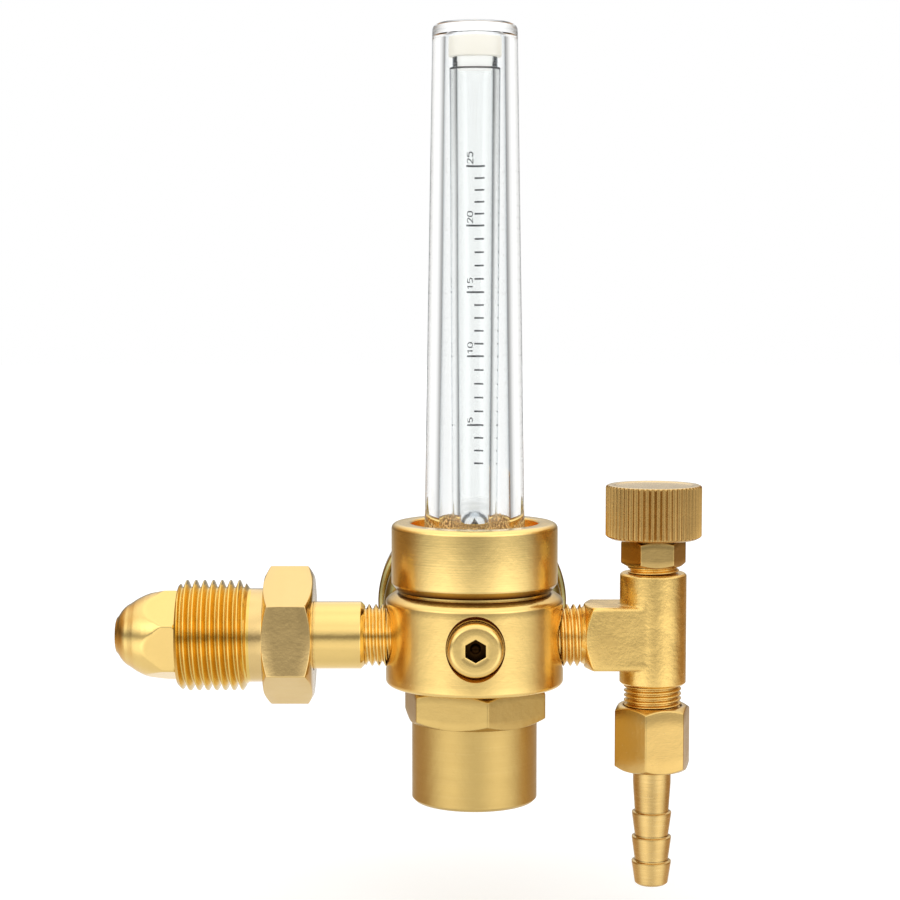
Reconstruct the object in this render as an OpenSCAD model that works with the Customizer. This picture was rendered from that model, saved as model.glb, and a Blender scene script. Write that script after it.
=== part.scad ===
// Flowmeter gas regulator: preset diaphragm regulator, rising-ball flow tube,
// contents gauge, needle valve and hose outlet.
// Millimetres. +Z runs up the flow tube, -X leaves through the inlet nut,
// +X goes to the outlet valve, +Y to the gauge.
// The origin is on the inlet nut's axis, at the middle of its thread.

/* [Body] */
// Radius of the round body
body_r = 18.45; // [18.3:0.05:19]
// Top of the body's shoulder above the port axis
shoulder_z = 9.1; // [9.0:0.05:9.2]
// Bottom face of the body below the port axis
body_drop = 10.1; // [10.1:0.05:10.3]
// Radius of the neck that carries the retaining ring
neck_r = 15.6; // [15.5:0.05:15.7]
// Depth at which the side ports end, from the middle axis
port_end = 12; // [11.9:0.1:12.2]
// Radius of the side ports
port_r = 6.45; // [6.4:0.05:6.5]

/* [Bonnet] */
// Width across flats of the bonnet hex
bonnet_af = 27; // [26.5:0.5:28]
// Height of the bonnet hex
bonnet_hex_h = 7.5; // [7:0.05:9]
// Radius of the plain bonnet cylinder
bonnet_r = 13; // [12.5:0.1:13.4]
// Bottom of the bonnet below the port axis
bonnet_bottom = 34.4; // [34.2:0.1:36]
// Radius of the spring bore
bonnet_bore_r = 7.6; // [7.5:0.05:7.9]
// Turns of the main spring
spring_turns = 6.5; // [5:0.5:7]
// Lift of the poppet off its nozzle at rest
poppet_lift = 0.38; // [0.3:0.01:0.4]

/* [Inlet] */
// Width across flats of the inlet nut
nut_af = 25; // [24:0.5:26]
// Major radius of the inlet thread
nut_thread_r = 11.45; // [11.3:0.05:11.5]
// Width across flats of the nipple's nose
nose_af = 17; // [16.5:0.5:17.5]
// Radius of the nipple shank
shank_r = 6.98; // [6.9:0.01:7.0]
// Radius of the gas passage in the nipple
inlet_bore_r = 2.2; // [1.5:0.1:2.6]

/* [Flow tube] */
// Outer radius of the retaining ring
ring_r = 17.23; // [17:0.05:17.6]
// Radius of the ring's opening
ring_open_r = 13.2; // [13:0.1:13.4]
// Outer radius of the clear cover at its foot
cover_r0 = 10.3; // [10.1:0.05:10.6]
// Outer radius of the clear cover near its top
cover_r1 = 8.8; // [8.7:0.05:9]
// Top of the clear cover
cover_top = 125.7; // [125.5:0.1:127]
// Radius of the float ball
ball_r = 2.95; // [2.9:0.01:2.96]
// Height of the ball's centre at rest
ball_z = 23.3; // [23.2:0.05:23.4]

/* [Gauge] */
// Radius of the gauge case
case_r = 20; // [19.9:0.1:20.2]
// Radius of the gauge bezel
bezel_r = 21.6; // [21.5:0.1:22.5]
// Angle of the pointer at rest, from straight down, towards the scale
pointer_zero = 45; // [44:1:46]

/* [Outlet valve] */
// Distance of the valve axis from the body's middle axis
valve_x = 37.1; // [37:0.1:37.5]
// Radius of the upright valve barrel
barrel_r = 6.9; // [6.8:0.05:7]
// Side of the square bar
bar_w = 13.2; // [12.9:0.1:13.3]
// Radius of the control knob
knob_r = 9.95; // [9.5:0.05:10.5]
// Top of the control knob
knob_top = 31.4; // [31:0.1:33]
// Width across flats of the packing nut
packing_af = 11.8; // [11.6:0.1:12]
// Width across flats of the outlet nut
outlet_af = 14.4; // [14.2:0.1:15]
// Radius over the hose barbs
barb_r = 4.1; // [4.1:0.01:4.2]
// Bottom of the hose barb below the port axis
barb_bottom = 52.6; // [52.4:0.1:54]

/* [Relief cap] */
// Radius of the cap's head
cap_r = 5.5; // [5.4:0.05:5.6]
// Width across flats of the cap's socket
cap_socket_af = 4; // [3.5:0.5:4]

/* [Hidden] */
$fn = 96;
NODES = ["regulator_body", "bonnet", "slip_ring", "diaphragm", "diaphragm_plate",
  "backing_plate", "main_spring", "spring_button", "preset_screw", "nozzle", "poppet",
  "poppet_seat_disc", "poppet_spring", "inlet_nipple", "inlet_nut", "inlet_filter",
  "tube_retaining_ring", "tube_cover", "metering_tube", "tube_top_cap", "float_ball",
  "ball_seat", "cover_o_ring", "metering_tube_o_ring", "gauge_socket", "gauge_case",
  "gauge_bezel", "gauge_lens", "gauge_dial", "gauge_pointer", "pinion_arbor",
  "sector_gear", "gauge_link", "bourdon_tube", "bourdon_tip", "movement_plates",
  "movement_screws", "hairspring", "stop_pin", "relief_cap", "relief_gasket",
  "relief_poppet", "relief_spring", "valve_body", "packing_nut", "stem_packing",
  "valve_stem", "valve_needle", "control_knob", "knob_set_screw", "outlet_nut",
  "hose_barb", "barb_seal"];
node = "all";

brass = "#c9a24a";
dull_brass = "#a8813c";
case_brass = "#a89a4e";
steel = "#c8c8cc";
black = "#1c1c1e";
clear = [0.85, 0.9, 0.92, 0.35];
cap_white = "#f1eddc";
seal_white = "#e9e6dc";

// Overlap that carries a cut or a joint past a face
eps = 0.1;

// Ends of the inlet nut's thread, left of the body's middle axis
thread_x0 = -61.35;
thread_x1 = -46.9;

// ------------------------------------------------------------------ helpers

// Pieces are drawn about the body's middle axis, then moved to the origin.
module place() translate([-(thread_x0 + thread_x1) / 2, 0, 0]) children();
module place_at_valve() place() translate([valve_x, 0, 0]) children();

// Solids of revolution: from a (radius, height) outline about Z, and from
// stations of (place along the axis, radius), places rising, about each axis.
module revolve(outline) rotate_extrude() polygon(outline);
module lathe_z(stations) revolve(concat([[0, stations[0][0]]],
  [for (s = stations) [s[1], s[0]]], [[0, stations[len(stations) - 1][0]]]));
module lathe_x(stations) rotate([0, 90, 0]) lathe_z(stations);
module lathe_y(stations) rotate([-90, 0, 0]) lathe_z(stations);

// Stations of a cylinder bevelled at both ends; each bevel is [length, drop in radius].
function bevelled(from, to, r, foot, head) =
  [[from, r - foot[1]], [from + foot[0], r], [to - head[0], r], [to, r - head[1]]];

// Cylinders along each axis, between two places on it
module rod_x(r, from, to, y = 0, z = 0)
  translate([min(from, to), y, z]) rotate([0, 90, 0]) cylinder(r = r, h = abs(to - from));
module rod_y(r, from, to, x = 0, z = 0)
  translate([x, min(from, to), z]) rotate([-90, 0, 0]) cylinder(r = r, h = abs(to - from));
module rod_z(r, from, to, x = 0, y = 0)
  translate([x, y, min(from, to)]) cylinder(r = r, h = abs(to - from));

module tube_z(outer_r, inner_r, from, to) difference() {
  rod_z(outer_r, from, to);
  rod_z(inner_r, from - eps, to + eps);
}

// Hexagonal prism of width af across flats
module hex_z(af, from, to, turned = 0) translate([0, 0, from]) rotate([0, 0, turned])
  cylinder(r = af / 2 / cos(30), h = to - from, $fn = 6);

module torus(mean_r, section_r)
  rotate_extrude() translate([mean_r, 0]) circle(r = section_r, $fn = 32);

function polar(r, angle) = [r * cos(angle), r * sin(angle)];
function arc(centre, r, from, to, steps = 4) =
  [for (i = [0:steps]) centre + polar(r, from + (to - from) * i / steps)];

// Coil of round wire as one closed skin. The first and last turns lie nearly flat.
module coil(mean_r, wire_r, bottom, top, turns, per_turn = 20, sides = 8) {
  steps = ceil(turns * per_turn);
  end_rise = 2.2 * wire_r;
  function height(turn) =
    turn < 1 ? bottom + wire_r + end_rise * turn
    : turn > turns - 1 ? top - wire_r - end_rise * (turns - turn)
    : bottom + wire_r + end_rise
      + (top - bottom - 2 * wire_r - 2 * end_rise) * (turn - 1) / (turns - 2);
  points = [for (i = [0:steps]) for (j = [0:sides - 1])
    let (turn = i / steps * turns, around = 360 * turn, section = 360 * j / sides,
      r = mean_r + wire_r * cos(section))
    [r * cos(around), r * sin(around), height(turn) + wire_r * sin(section)]];
  skin = [for (i = [0:steps - 1]) for (j = [0:sides - 1])
    let (this = i * sides + j, next = i * sides + (j + 1) % sides)
    each [[this, this + sides, next + sides], [this, next + sides, next]]];
  ends = [[for (j = [0:sides - 1]) j], [for (j = [sides - 1:-1:0]) steps * sides + j]];
  polyhedron(points = points, faces = concat(skin, ends), convexity = 10);
}

// ---------------------------------------------------------------- regulator

neck_top = 13;
// Levels of the diaphragm and the parts clamped with it
diaphragm_top = -4.6;
diaphragm_bottom = -5;
slip_ring_bottom = -5.8;
stack_r = 10.9;
// Tops of the bores above the diaphragm
gas_chamber_top = -3.4;
nozzle_bore_top = -0.6;
pressure_chamber_top = 4.4;
// Height of the high pressure drillings
drilling_z = 2;
// Floor of the metering tube's socket
tube_socket_z = 8;
// Gas way from the body through the outlet
outlet_bore_r = 2.2;
// Depth of the relief port's thread, from the middle axis
relief_thread_end = 9.8;

module regulator_body() color(brass) place() difference() {
  revolve(concat([[0, -body_drop]], arc([body_r - 1.1, -body_drop + 1.1], 1.1, -90, 0),
    [[body_r, 7.1], [body_r - 0.25, 7.75], [body_r - 0.85, 8.3], [body_r - 2.1, shoulder_z],
     [neck_r, shoulder_z], [neck_r, neck_top], [0, neck_top]]));
  // Bonnet thread, gas chamber over the diaphragm, nozzle thread, high pressure chamber
  rod_z(11, -body_drop - eps, diaphragm_top);
  rod_z(8.5, diaphragm_top - eps, gas_chamber_top);
  rod_z(4.05, gas_chamber_top - eps, nozzle_bore_top);
  rod_z(2.9, nozzle_bore_top - eps, pressure_chamber_top);
  // Inlet, gauge and outlet ports
  rod_x(port_r, -body_r - 1, -port_end);
  rod_y(port_r, port_end, body_r + 1);
  rod_x(port_r, port_end, body_r + 1);
  // High pressure drillings
  rod_x(1.1, -port_end - eps, -2.5, 0, drilling_z);
  rod_y(1.1, 2.5, port_end + eps, 0, drilling_z);
  // Riser leaning inwards from the gas chamber to the foot of the metering tube
  rotate([0, 0, -45]) translate([6.9, 0, -4.2]) rotate([0, -atan(3.1 / 11.6), 0])
    cylinder(r = 0.8, h = 12.0);
  // Foot of the metering tube and its seal groove
  rod_z(4.2, 6.8, tube_socket_z + eps);
  rod_z(4.75, tube_socket_z, 12);
  rod_z(6.2, 9.4, 11);
  // Return cavity around the boss
  difference() {
    rod_z(11.4, 8.8, neck_top + eps);
    rod_z(7.8, 8.8 - eps, 11.8);
  }
  // Seal groove in the neck's face
  difference() {
    rod_z(14.2, 11.6, neck_top + eps);
    rod_z(12.2, 11.6 - eps, neck_top + 2 * eps);
  }
  // Return drilling to the outlet port
  rod_z(1.4, 0, 9, 10, 0);
  rod_x(outlet_bore_r, 8.4, port_end + eps);
  // Relief port: dished spotface, thread and drilling to the gas chamber
  rotate([90, 0, 0]) revolve([[0, body_r - 1.4], [5.96, body_r - 1.4], [5.96, body_r - 1],
    [6.7, body_r], [7.6, body_r + 1.2], [0, body_r + 1.2]]);
  rod_y(4.05, -body_r, -relief_thread_end);
  rod_y(1, -relief_thread_end - eps, -6.6);
  rod_z(0.8, gas_chamber_top - eps, 0, 0, -7.4);
}

bonnet_hex_top = -body_drop - 0.05;
bonnet_hex_z = bonnet_hex_top - bonnet_hex_h;
bonnet_turned = -20.6;
bonnet_bevel = [1.2, 2.1];
// Floor of the spring bore
bonnet_floor = -31;

module bonnet() color(brass) place() difference() {
  union() {
    rod_z(10.95, bonnet_hex_top - eps, slip_ring_bottom);
    intersection() {
      hex_z(bonnet_af, bonnet_hex_z, bonnet_hex_top, bonnet_turned);
      lathe_z(bevelled(bonnet_hex_z, bonnet_hex_top, bonnet_af / 2 + 2.2,
        bonnet_bevel, bonnet_bevel));
    }
    lathe_z([[-bonnet_bottom, bonnet_r - 0.6], [-bonnet_bottom + 0.18, bonnet_r - 0.18],
      [-bonnet_bottom + 0.6, bonnet_r], [bonnet_hex_z + eps, bonnet_r]]);
  }
  rod_z(bonnet_bore_r, bonnet_floor, slip_ring_bottom + eps);
  rod_z(4, -bonnet_bottom - eps, bonnet_floor + eps);
  // Breather hole, away from the relief cap
  rod_y(0.8, 6, 16, 0, -22);
}

module slip_ring() color(steel) place()
  tube_z(stack_r, 8.3, slip_ring_bottom, diaphragm_bottom);

module diaphragm() color("#2c2c30") place()
  tube_z(stack_r, 1.95, diaphragm_bottom, diaphragm_top);

// Plate above the diaphragm, with a stem through it and a head below
module diaphragm_plate() color(brass) place() union() {
  rod_z(7.4, -4.55, -3.95);
  rod_z(1.9, -6.4, -4.5);
  rod_z(2.6, -6.7, -6.35);
}

module backing_plate() color(steel) place() difference() {
  union() {
    rod_z(7, -5.65, -5.05);
    rod_z(4.4, -6.33, -5.6);
  }
  rod_z(1.95, -6.5, diaphragm_bottom);
}

module main_spring() color(steel) place() coil(5.85, 0.8, -26, -5.68, spring_turns);

module spring_button() color(brass) place() difference() {
  union() {
    lathe_z([[-27.6, 6.6], [-27.2, 7], [-26.02, 7]]);
    lathe_z([[-26.1, 4.4], [-25, 4.4], [-24.6, 4]]);
  }
  rod_z(2.6, -27.7, -27.1);
}

screw_bevel = [0.3, 0.35];
module preset_screw() color(brass) place() difference() {
  lathe_z(concat(bevelled(-33.4, -28.1, 3.95, screw_bevel, screw_bevel),
    [[-28.1, 2.5], [-27.12, 2.5]]));
  hex_z(4, -33.5, -30.4);
}

module nozzle() color(brass) place() difference() {
  lathe_z([[-3.35, 4], [-0.65, 4], [-0.65, 1.75], [-0.2, 1.35]]);
  rod_z(1, -3.5, 0);
}

// The poppet hangs open at rest; its disc meets the nozzle after the lift.
module poppet() color(brass) place() union() {
  lathe_z([[0.92, 2.4], [2.4, 2.4], [2.6, 2.2], [2.6, 1.1], [3.3, 1.1], [3.5, 0.9]]);
  rod_z(0.55, -3.93, 1);
}

module poppet_seat_disc() color("#e8e4d8") place() tube_z(2.2, 0.6, poppet_lift - 0.18, 0.9);

module poppet_spring() color(steel) place() coil(1.6, 0.15, 2.62, 4.38, 3, 16, 6);

// -------------------------------------------------------------------- inlet

nose_tip = -74.4;
nose_turned = -19.2;
// The nipple's rounded nose: (distance behind the tip, radius)
nose = [[0, 3.3], [0.12, 3.65], [0.5, 4.05], [1.1, 5.0], [1.7, 5.7], [2.3, 6.2], [3.0, 6.6],
  [3.6, 7.0], [4.2, 7.42], [4.8, 7.75], [5.4, 8.05], [6.1, 8.37], [7.3, 8.8], [8.6, 9.15],
  [10.4, 9.8], [12.4, 9.84], [13.0, 9.5]];
// Floor of the filter's pocket
filter_x = -17;

module inlet_nipple() color(brass) place() difference() {
  union() {
    intersection() {
      lathe_x([for (station = nose) [nose_tip + station[0], station[1]]]);
      rotate([nose_turned, 0, 0]) rotate([0, 90, 0])
        hex_z(nose_af, nose_tip - 1, nose_tip + 15, 30);
    }
    lathe_x([[-61.5, shank_r], [-23.5, shank_r], [-22.7, shank_r - 0.8], [-22.7, 6.4],
      [-13, 6.4], [-12.1, 5.8]]);
  }
  rod_x(inlet_bore_r, nose_tip - 1, filter_x);
  rod_x(4, filter_x - eps, -12);
}

module inlet_filter() color("#b08d57") place() difference() {
  rod_x(3.95, filter_x, -12.2);
  rod_x(2.6, filter_x + 1, -12);
}

nut_hex_x0 = -43.4;
nut_hex_x1 = -33.4;
nut_turned = -2.9;
nut_bevel = [1.2, 2.1];

module inlet_nut() color(brass) place() difference() {
  union() {
    lathe_x([[thread_x0, nut_thread_r - 1.05], [thread_x0 + 1.05, nut_thread_r],
      [thread_x1, nut_thread_r]]);
    rod_x(9.7, thread_x1 - eps, nut_hex_x0 + eps);
    intersection() {
      rotate([nut_turned, 0, 0]) rotate([0, 90, 0]) hex_z(nut_af, nut_hex_x0, nut_hex_x1);
      lathe_x(bevelled(nut_hex_x0, nut_hex_x1, nut_af / 2 + 2, nut_bevel, nut_bevel));
    }
  }
  rod_x(shank_r + 0.07, thread_x0 - 1, nut_hex_x1 + 1);
}

// ---------------------------------------------------------------- flow tube

ring_bottom = 9.6;
ring_top = 23.6;
// Underside of the ring's inward lip
ring_lip_z = 19.6;

module tube_retaining_ring() color(brass) place() difference() {
  revolve(concat([[0, ring_bottom], [ring_r - 1.17, ring_bottom], [ring_r, 11.1]],
    arc([ring_r - 1.2, ring_top - 1.2], 1.2, 0, 90), [[0, ring_top]]));
  rod_z(neck_r + 0.05, ring_bottom - eps, ring_lip_z);
  rod_z(ring_open_r, ring_lip_z - eps, ring_top + eps);
}

cover_bore_top = 123.5;
module tube_cover() color(clear) place() difference() {
  revolve(concat([[0, neck_top], [15.4, neck_top], [15.4, 19.1], [15.0, 19.5], [12.7, 19.5],
    [11.6, 19.9], [10.9, 20.7], [10.55, 21.8], [10.42, 23.2], [cover_r0, 25.7],
    [cover_r1, 118], [cover_r1 - 0.1, 124.0]],
    arc([cover_r1 - 1.6, 124.2], 1.5, 0, 90), [[0, cover_top]]));
  revolve([[0, neck_top - eps], [8.7, neck_top - eps], [8.7, 13.2], [7.4, 14.8], [7.35, 24],
    [6.15, 118], [6.1, 122.6], [5.8, 123.2], [5.2, cover_bore_top], [0, cover_bore_top]]);
}

tube_bottom = tube_socket_z + 0.02;
tube_top = 118.7;
module metering_tube() color(clear) place() difference() {
  revolve([[0, tube_bottom], [4.4, tube_bottom], [4.7, 8.3], [4.7, 20], [5.17, 116.4],
    [5.05, 116.6], [4.6, 116.6], [4.6, tube_top], [0, tube_top]]);
  revolve([[0, 7.9], [3.1, 7.9], [3.1, 21], [3.75, tube_top + eps], [0, tube_top + eps]]);
}

module tube_top_cap() color(cap_white) place() difference() {
  union() {
    lathe_z([[tube_top + 0.02, 5.2], [118.9, 5.4], [122.6, 5.4], [123.2, 4.9]]);
    rod_z(3.6, 115.6, tube_top + eps);
  }
  // Gas leaves up the middle and out through a hole across the cap
  rod_z(2, 115, 121.5);
  rod_x(0.9, -6, 6, 0, 120.6);
}

module float_ball() color(steel) place() translate([0, 0, ball_z]) sphere(r = ball_r);

// The ball rests just clear of the rim of the seat's hole.
seat_hole_r = 1.6;
seat_top = ball_z - sqrt(ball_r * ball_r - seat_hole_r * seat_hole_r) - 0.02;
module ball_seat() color(cap_white) place() difference() {
  rod_z(3.05, 8.1, seat_top);
  rod_z(seat_hole_r, 8, 22);
}

module cover_o_ring() color(black) place() translate([0, 0, 12.3]) torus(13.2, 0.68);
module metering_tube_o_ring() color(black) place() translate([0, 0, 10.2]) torus(5.45, 0.7);

// -------------------------------------------------------------------- gauge

// Threaded plug that fills a side port, shared by the gauge and the valve
port_plug = [[port_end + 0.1, 5.8], [port_end + 1, 6.4], [23, 6.4]];

// Block inside the case that carries the movement and the Bourdon tube
block_corner = [-4.5, 33, -16.9];
block_size = [9, 6.4, 22];
block_front = block_corner[1] + block_size[1];
movement_screw_zs = [-6.5, 2.5];

module gauge_socket() color(brass) place() difference() {
  union() {
    lathe_y(port_plug);
    intersection() {
      translate([-6, 22.9, -6]) cube([12, 8.1, 12]);
      lathe_y([[22.9, 6.6], [24.4, 8.3], [29.7, 8.3], [31, 6.9]]);
    }
    rod_y(5, 30.9, 34);
    translate(block_corner) cube(block_size);
  }
  // Gas way: along the socket, down the block and out to its +X side
  rod_y(1.5, port_end - 1, 36);
  rod_z(1, -14.6, 0, 0, 35.5);
  rod_x(1, 0, 4.6, 35.5, -13.6);
  for (z = movement_screw_zs) rod_y(0.85, 37, block_front + eps, 0, z);
}

case_back = 32;
case_front = 49;
case_wall = 0.8;
case_corner_r = 3.2;
// Stations of the case's skin, inset from the outside, up to the given front
function case_stations(inset, front) = concat(
  [for (point = arc([case_r - case_corner_r, case_back + case_corner_r],
    case_corner_r - inset, -90, 0, 6)) [point[1], point[0]]],
  [[front, case_r - inset]]);

module gauge_case() color(case_brass) place() difference() {
  lathe_y(case_stations(0, case_front));
  lathe_y(case_stations(case_wall, case_front + eps));
  rod_y(5.05, 31, 34);
}

module gauge_bezel() color(case_brass) place() difference() {
  lathe_y([[46.5, bezel_r - 0.9], [46.8, bezel_r - 0.35], [47.3, bezel_r], [54.4, bezel_r],
    [55.3, bezel_r - 0.5], [55.85, bezel_r - 1.4], [56, bezel_r - 2.4],
    [55.7, bezel_r - 3.4], [55.45, bezel_r - 3.6]]);
  // Case, window opening and lens
  rod_y(case_r + 0.05, 46, 52.9);
  rod_y(case_r - 2.2, 52, 57);
  rod_y(case_r + 0.05, 52.8, 54.6);
}

module gauge_lens() color(clear) place()
  lathe_y([[53.5, case_r], [54.55, case_r], [54.55, case_r - 2.3], [55.2, case_r - 2.7]]);

module gauge_dial() color("white") place() difference() {
  rod_y(18.4, 47.6, 48);
  rod_y(1.3, 47, 49);
}

// Turn from straight up; seen from the front, the zero mark is at the lower left.
pointer_turned = 180 - pointer_zero;

// Everything that turns with the pointer lies along the gauge's axis.
module gauge_pointer() color(black) place() rotate([0, pointer_turned, 0]) difference() {
  union() {
    rod_y(2.2, 49.2, 49.9);
    translate([0, 49.9, 0]) rotate([90, 0, 0]) linear_extrude(0.4)
      polygon([[-0.9, 0], [-0.25, 14.2], [0, 15.2], [0.25, 14.2], [0.9, 0],
        [1.5, -5.4], [-1.5, -5.4]]);
  }
  rod_y(0.62, 49, 51);
}

gear_module = 0.25;
pinion_teeth = 8;
// Teeth in the sector's full circle
sector_teeth = 80;
gear_distance = gear_module * (pinion_teeth + sector_teeth) / 2 + 0.06;

// Outline of one gear tooth; backlash is the angle taken off each flank.
function tooth(count, index, backlash) =
  let (
    pitch_r = gear_module * count / 2,
    root_r = pitch_r - 1.15 * gear_module,
    tip_r = pitch_r + 0.85 * gear_module,
    middle = index * 360 / count,
    half = 360 / count / 4 - backlash
  )
  [polar(root_r, middle - half * 1.75), polar(pitch_r, middle - half),
   polar(tip_r, middle - half * 0.35), polar(tip_r, middle + half * 0.35),
   polar(pitch_r, middle + half), polar(root_r, middle + half * 1.75)];

module pinion_arbor() color(brass) place() union() {
  rod_y(0.6, 39.6, 50.3);
  // Teeth, with a gap between two of them towards the sector
  translate([0, 45, 0]) rotate([90, 0, 0]) rotate([0, 0, -90 + 180 / pinion_teeth])
    linear_extrude(2) polygon([for (i = [0:pinion_teeth - 1]) each tooth(pinion_teeth, i, 1.6)]);
}

// The sector turns below the arbor, in a plane that starts at sector_y.
sector_y = 43.2;
sector_t = 1.2;
tail_length = 4;
tail_angle = -115;

module sector_gear() color(brass) place()
  translate([0, sector_y + 1.6, -gear_distance]) rotate([90, 0, 0]) difference() {
    union() {
      linear_extrude(sector_t) difference() {
        // Tooth 0 points up at the arbor; the others run on mostly towards -X
        polygon(concat([[0, 0]],
          [for (i = [-2:9]) each tooth(sector_teeth, i + sector_teeth / 4, 0.16)]));
        polygon([polar(2.6, 92), polar(8.2, 88), polar(8.2, 118), polar(2.6, 114)]);
      }
      linear_extrude(sector_t) circle(r = 1.7);
      // Tail lever that the link pulls
      rotate([0, 0, tail_angle]) translate([0, -0.8, 0]) cube([4.6, 1.6, sector_t]);
      rotate([0, 0, tail_angle]) translate([tail_length, 0, 0]) cylinder(r = 1.1, h = sector_t);
      // Arbor of the sector
      translate([0, 0, -2]) cylinder(r = 0.6, h = 7.2);
    }
    rotate([0, 0, tail_angle]) translate([tail_length, 0, -1]) cylinder(r = 0.45, h = 4);
  }

// The link runs from the tail to the Bourdon tip's pin, as (x, z) points.
tail = [0, -gear_distance] + polar(tail_length, tail_angle);
tip = polar(14.6, 203);
link_length = norm(tip - tail);
link_angle = atan2(tip[1] - tail[1], tip[0] - tail[0]);
// Length of the slot at the tip's end
slot = 2;

module gauge_link() color(steel) place() translate([tail[0], sector_y + 0.3, tail[1]])
  rotate([90, 0, 0]) rotate([0, 0, link_angle]) union() {
    linear_extrude(0.6) difference() {
      union() {
        translate([0, -0.55]) square([link_length, 1.1]);
        circle(r = 1);
        translate([link_length - slot, -1.2]) square([slot, 2.4]);
        for (d = [0, slot]) translate([link_length - d, 0]) circle(r = 1.2);
      }
      // Slotted end around the tip's pin
      for (d = [0, slot]) translate([link_length - d, 0]) circle(r = 0.65);
      translate([link_length - slot, -0.65]) square([slot, 1.3]);
    }
    // Rivet through the sector's tail
    translate([0, 0, -1.7]) cylinder(r = 0.4, h = 1.8);
  }

// Front face of the Bourdon tube
bourdon_y = 38;
module bourdon_tube() color("#b5843c") place() difference() {
  // Flattened tube bent round from the block's side to the tip
  translate([0, bourdon_y, 0]) rotate([90, 0, 0]) rotate([0, 0, -72]) rotate_extrude(angle = 270)
    polygon([[13.7, 0.5], [14.1, 0], [15.1, 0], [15.5, 0.5],
      [15.5, 3.5], [15.1, 4], [14.1, 4], [13.7, 3.5]]);
  // Block, with a little clearance
  translate(block_corner - [0.03, 0, 0.05]) cube(block_size + [0.06, 0.1, 0.1]);
}

module bourdon_tip() color(brass) place() union() {
  translate([0, bourdon_y, 0]) rotate([90, 0, 0]) rotate([0, 0, 198.05])
    rotate_extrude(angle = 9) polygon([[13.3, 0], [15.9, 0], [15.9, 4], [13.3, 4]]);
  // Pin for the link
  rod_y(0.4, bourdon_y - eps, 43.8, tip[0], tip[1]);
}

module movement_plates() color(brass) place() difference() {
  union() {
    for (y = [block_front, 46.1]) translate([-3.6, y, -14.6]) cube([7.2, 0.9, 19.4]);
    // Pillars
    for (x = [-2.5, 2.5]) rod_y(0.9, 40, 46.4, x, 3.8);
    // Feet for the dial
    for (x = [-2.6, 2.6]) rod_y(0.5, 46.9, 47.58, x, 3.8);
  }
  for (z = [0, -gear_distance]) rod_y(0.65, 39, 48, 0, z);
  for (z = movement_screw_zs) rod_y(0.85, 39, 40.5, 0, z);
}

module movement_screws() color(steel) place() for (z = movement_screw_zs) union() {
  rod_y(0.8, 37.2, 40.4, 0, z);
  rod_y(1.5, 40.32, 41.1, 0, z);
}

// Flat spiral of four turns round the arbor: one ribbon of even thickness
function spiral(angle, offset) = polar(0.95 + 2.3 * angle / 1440 + offset, angle);
module hairspring() color(steel) place() translate([0, 42.2, 0]) rotate([90, 0, 0])
  linear_extrude(0.5) polygon(concat(
    [for (i = [0:72]) spiral(i * 20, 0.07)], [for (i = [72:-1:0]) spiral(i * 20, -0.07)]));

module stop_pin() color(brass) place()
  rotate([0, pointer_turned + 6.5, 0]) rod_y(0.4, 48, 50.4, 0, 9);

// ------------------------------------------------------------------- relief

module relief_cap() color(brass) place() difference() {
  union() {
    rotate([90, 0, 0]) revolve(concat([[0, body_r - 1], [cap_r, body_r - 1]],
      arc([cap_r - 1.15, body_r + 0.85], 1.15, 0, 90, 5), [[0, body_r + 2]]));
    rod_y(4, -body_r + 0.9, -10.5);
  }
  rod_y(2.9, -16.4, -10);
  rod_y(1.2, -18.5, -16.3);
  rotate([90, 0, 0]) hex_z(cap_socket_af, body_r - 1, body_r + 3, 90);
}

module relief_gasket() color("#8c3b2a") place()
  rotate([90, 0, 0]) tube_z(5.4, 4.1, body_r - 1.38, body_r - 1.02);

module relief_poppet() color("#3a3a3c") place() union() {
  rod_y(2.85, -11.6, -9.82);
  rod_y(1.1, -13, -11.5);
}

module relief_spring() color(steel) place()
  rotate([90, 0, 0]) coil(2.2, 0.3, 11.62, 16.38, 5, 16, 6);

// ------------------------------------------------------------- outlet valve

// Where the plug meets the square bar
bar_x = 22.8;
thread_bottom = -20;
// Bottom and top of the narrow seat hole
seat_hole_z0 = -5.2;
seat_hole_z1 = -3;
// Floor of the packing's pocket
packing_z = 15.4;
barrel_bevel = [0.3, 0.3];

module valve_body() color(brass) place() difference() {
  union() {
    lathe_x(port_plug);
    intersection() {
      translate([bar_x, -bar_w / 2, -bar_w / 2]) cube([valve_x - bar_x, bar_w, bar_w]);
      lathe_x([[bar_x, bar_w / 2], [24.5, bar_w * 0.72], [valve_x + 5, bar_w * 0.72]]);
    }
    translate([valve_x, 0, 0]) {
      lathe_z(bevelled(-10.1, 13.1, barrel_r, barrel_bevel, barrel_bevel));
      lathe_z([[thread_bottom, 5.5], [thread_bottom + 0.5, 5.95], [-10, 5.95]]);
      lathe_z([[13, 5.3], [17.9, 5.3], [18.2, 5]]);
    }
  }
  rod_x(outlet_bore_r, port_end, valve_x);
  translate([valve_x, 0, 0]) {
    rod_z(2.95, seat_hole_z1, packing_z);
    rod_z(3.95, packing_z - eps, 18.3);
    rod_z(1.1, seat_hole_z0 - eps, seat_hole_z1 + eps);
    rod_z(2.4, thread_bottom - eps, seat_hole_z0);
  }
}

packing_nut_z0 = 14.6;
packing_nut_z1 = 20;
packing_turned = 3;
module packing_nut() color(brass) place_at_valve() difference() {
  intersection() {
    hex_z(packing_af, packing_nut_z0, packing_nut_z1, packing_turned);
    lathe_z(bevelled(packing_nut_z0, packing_nut_z1, packing_af / 2 + 0.95,
      [0.7, packing_af / 2 + 0.95 - 5.4], [0.6, 0.85]));
  }
  rod_z(5.35, packing_nut_z0 - eps, 18.4);
  rod_z(2.1, 18.3, packing_nut_z1 + eps);
}

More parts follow.
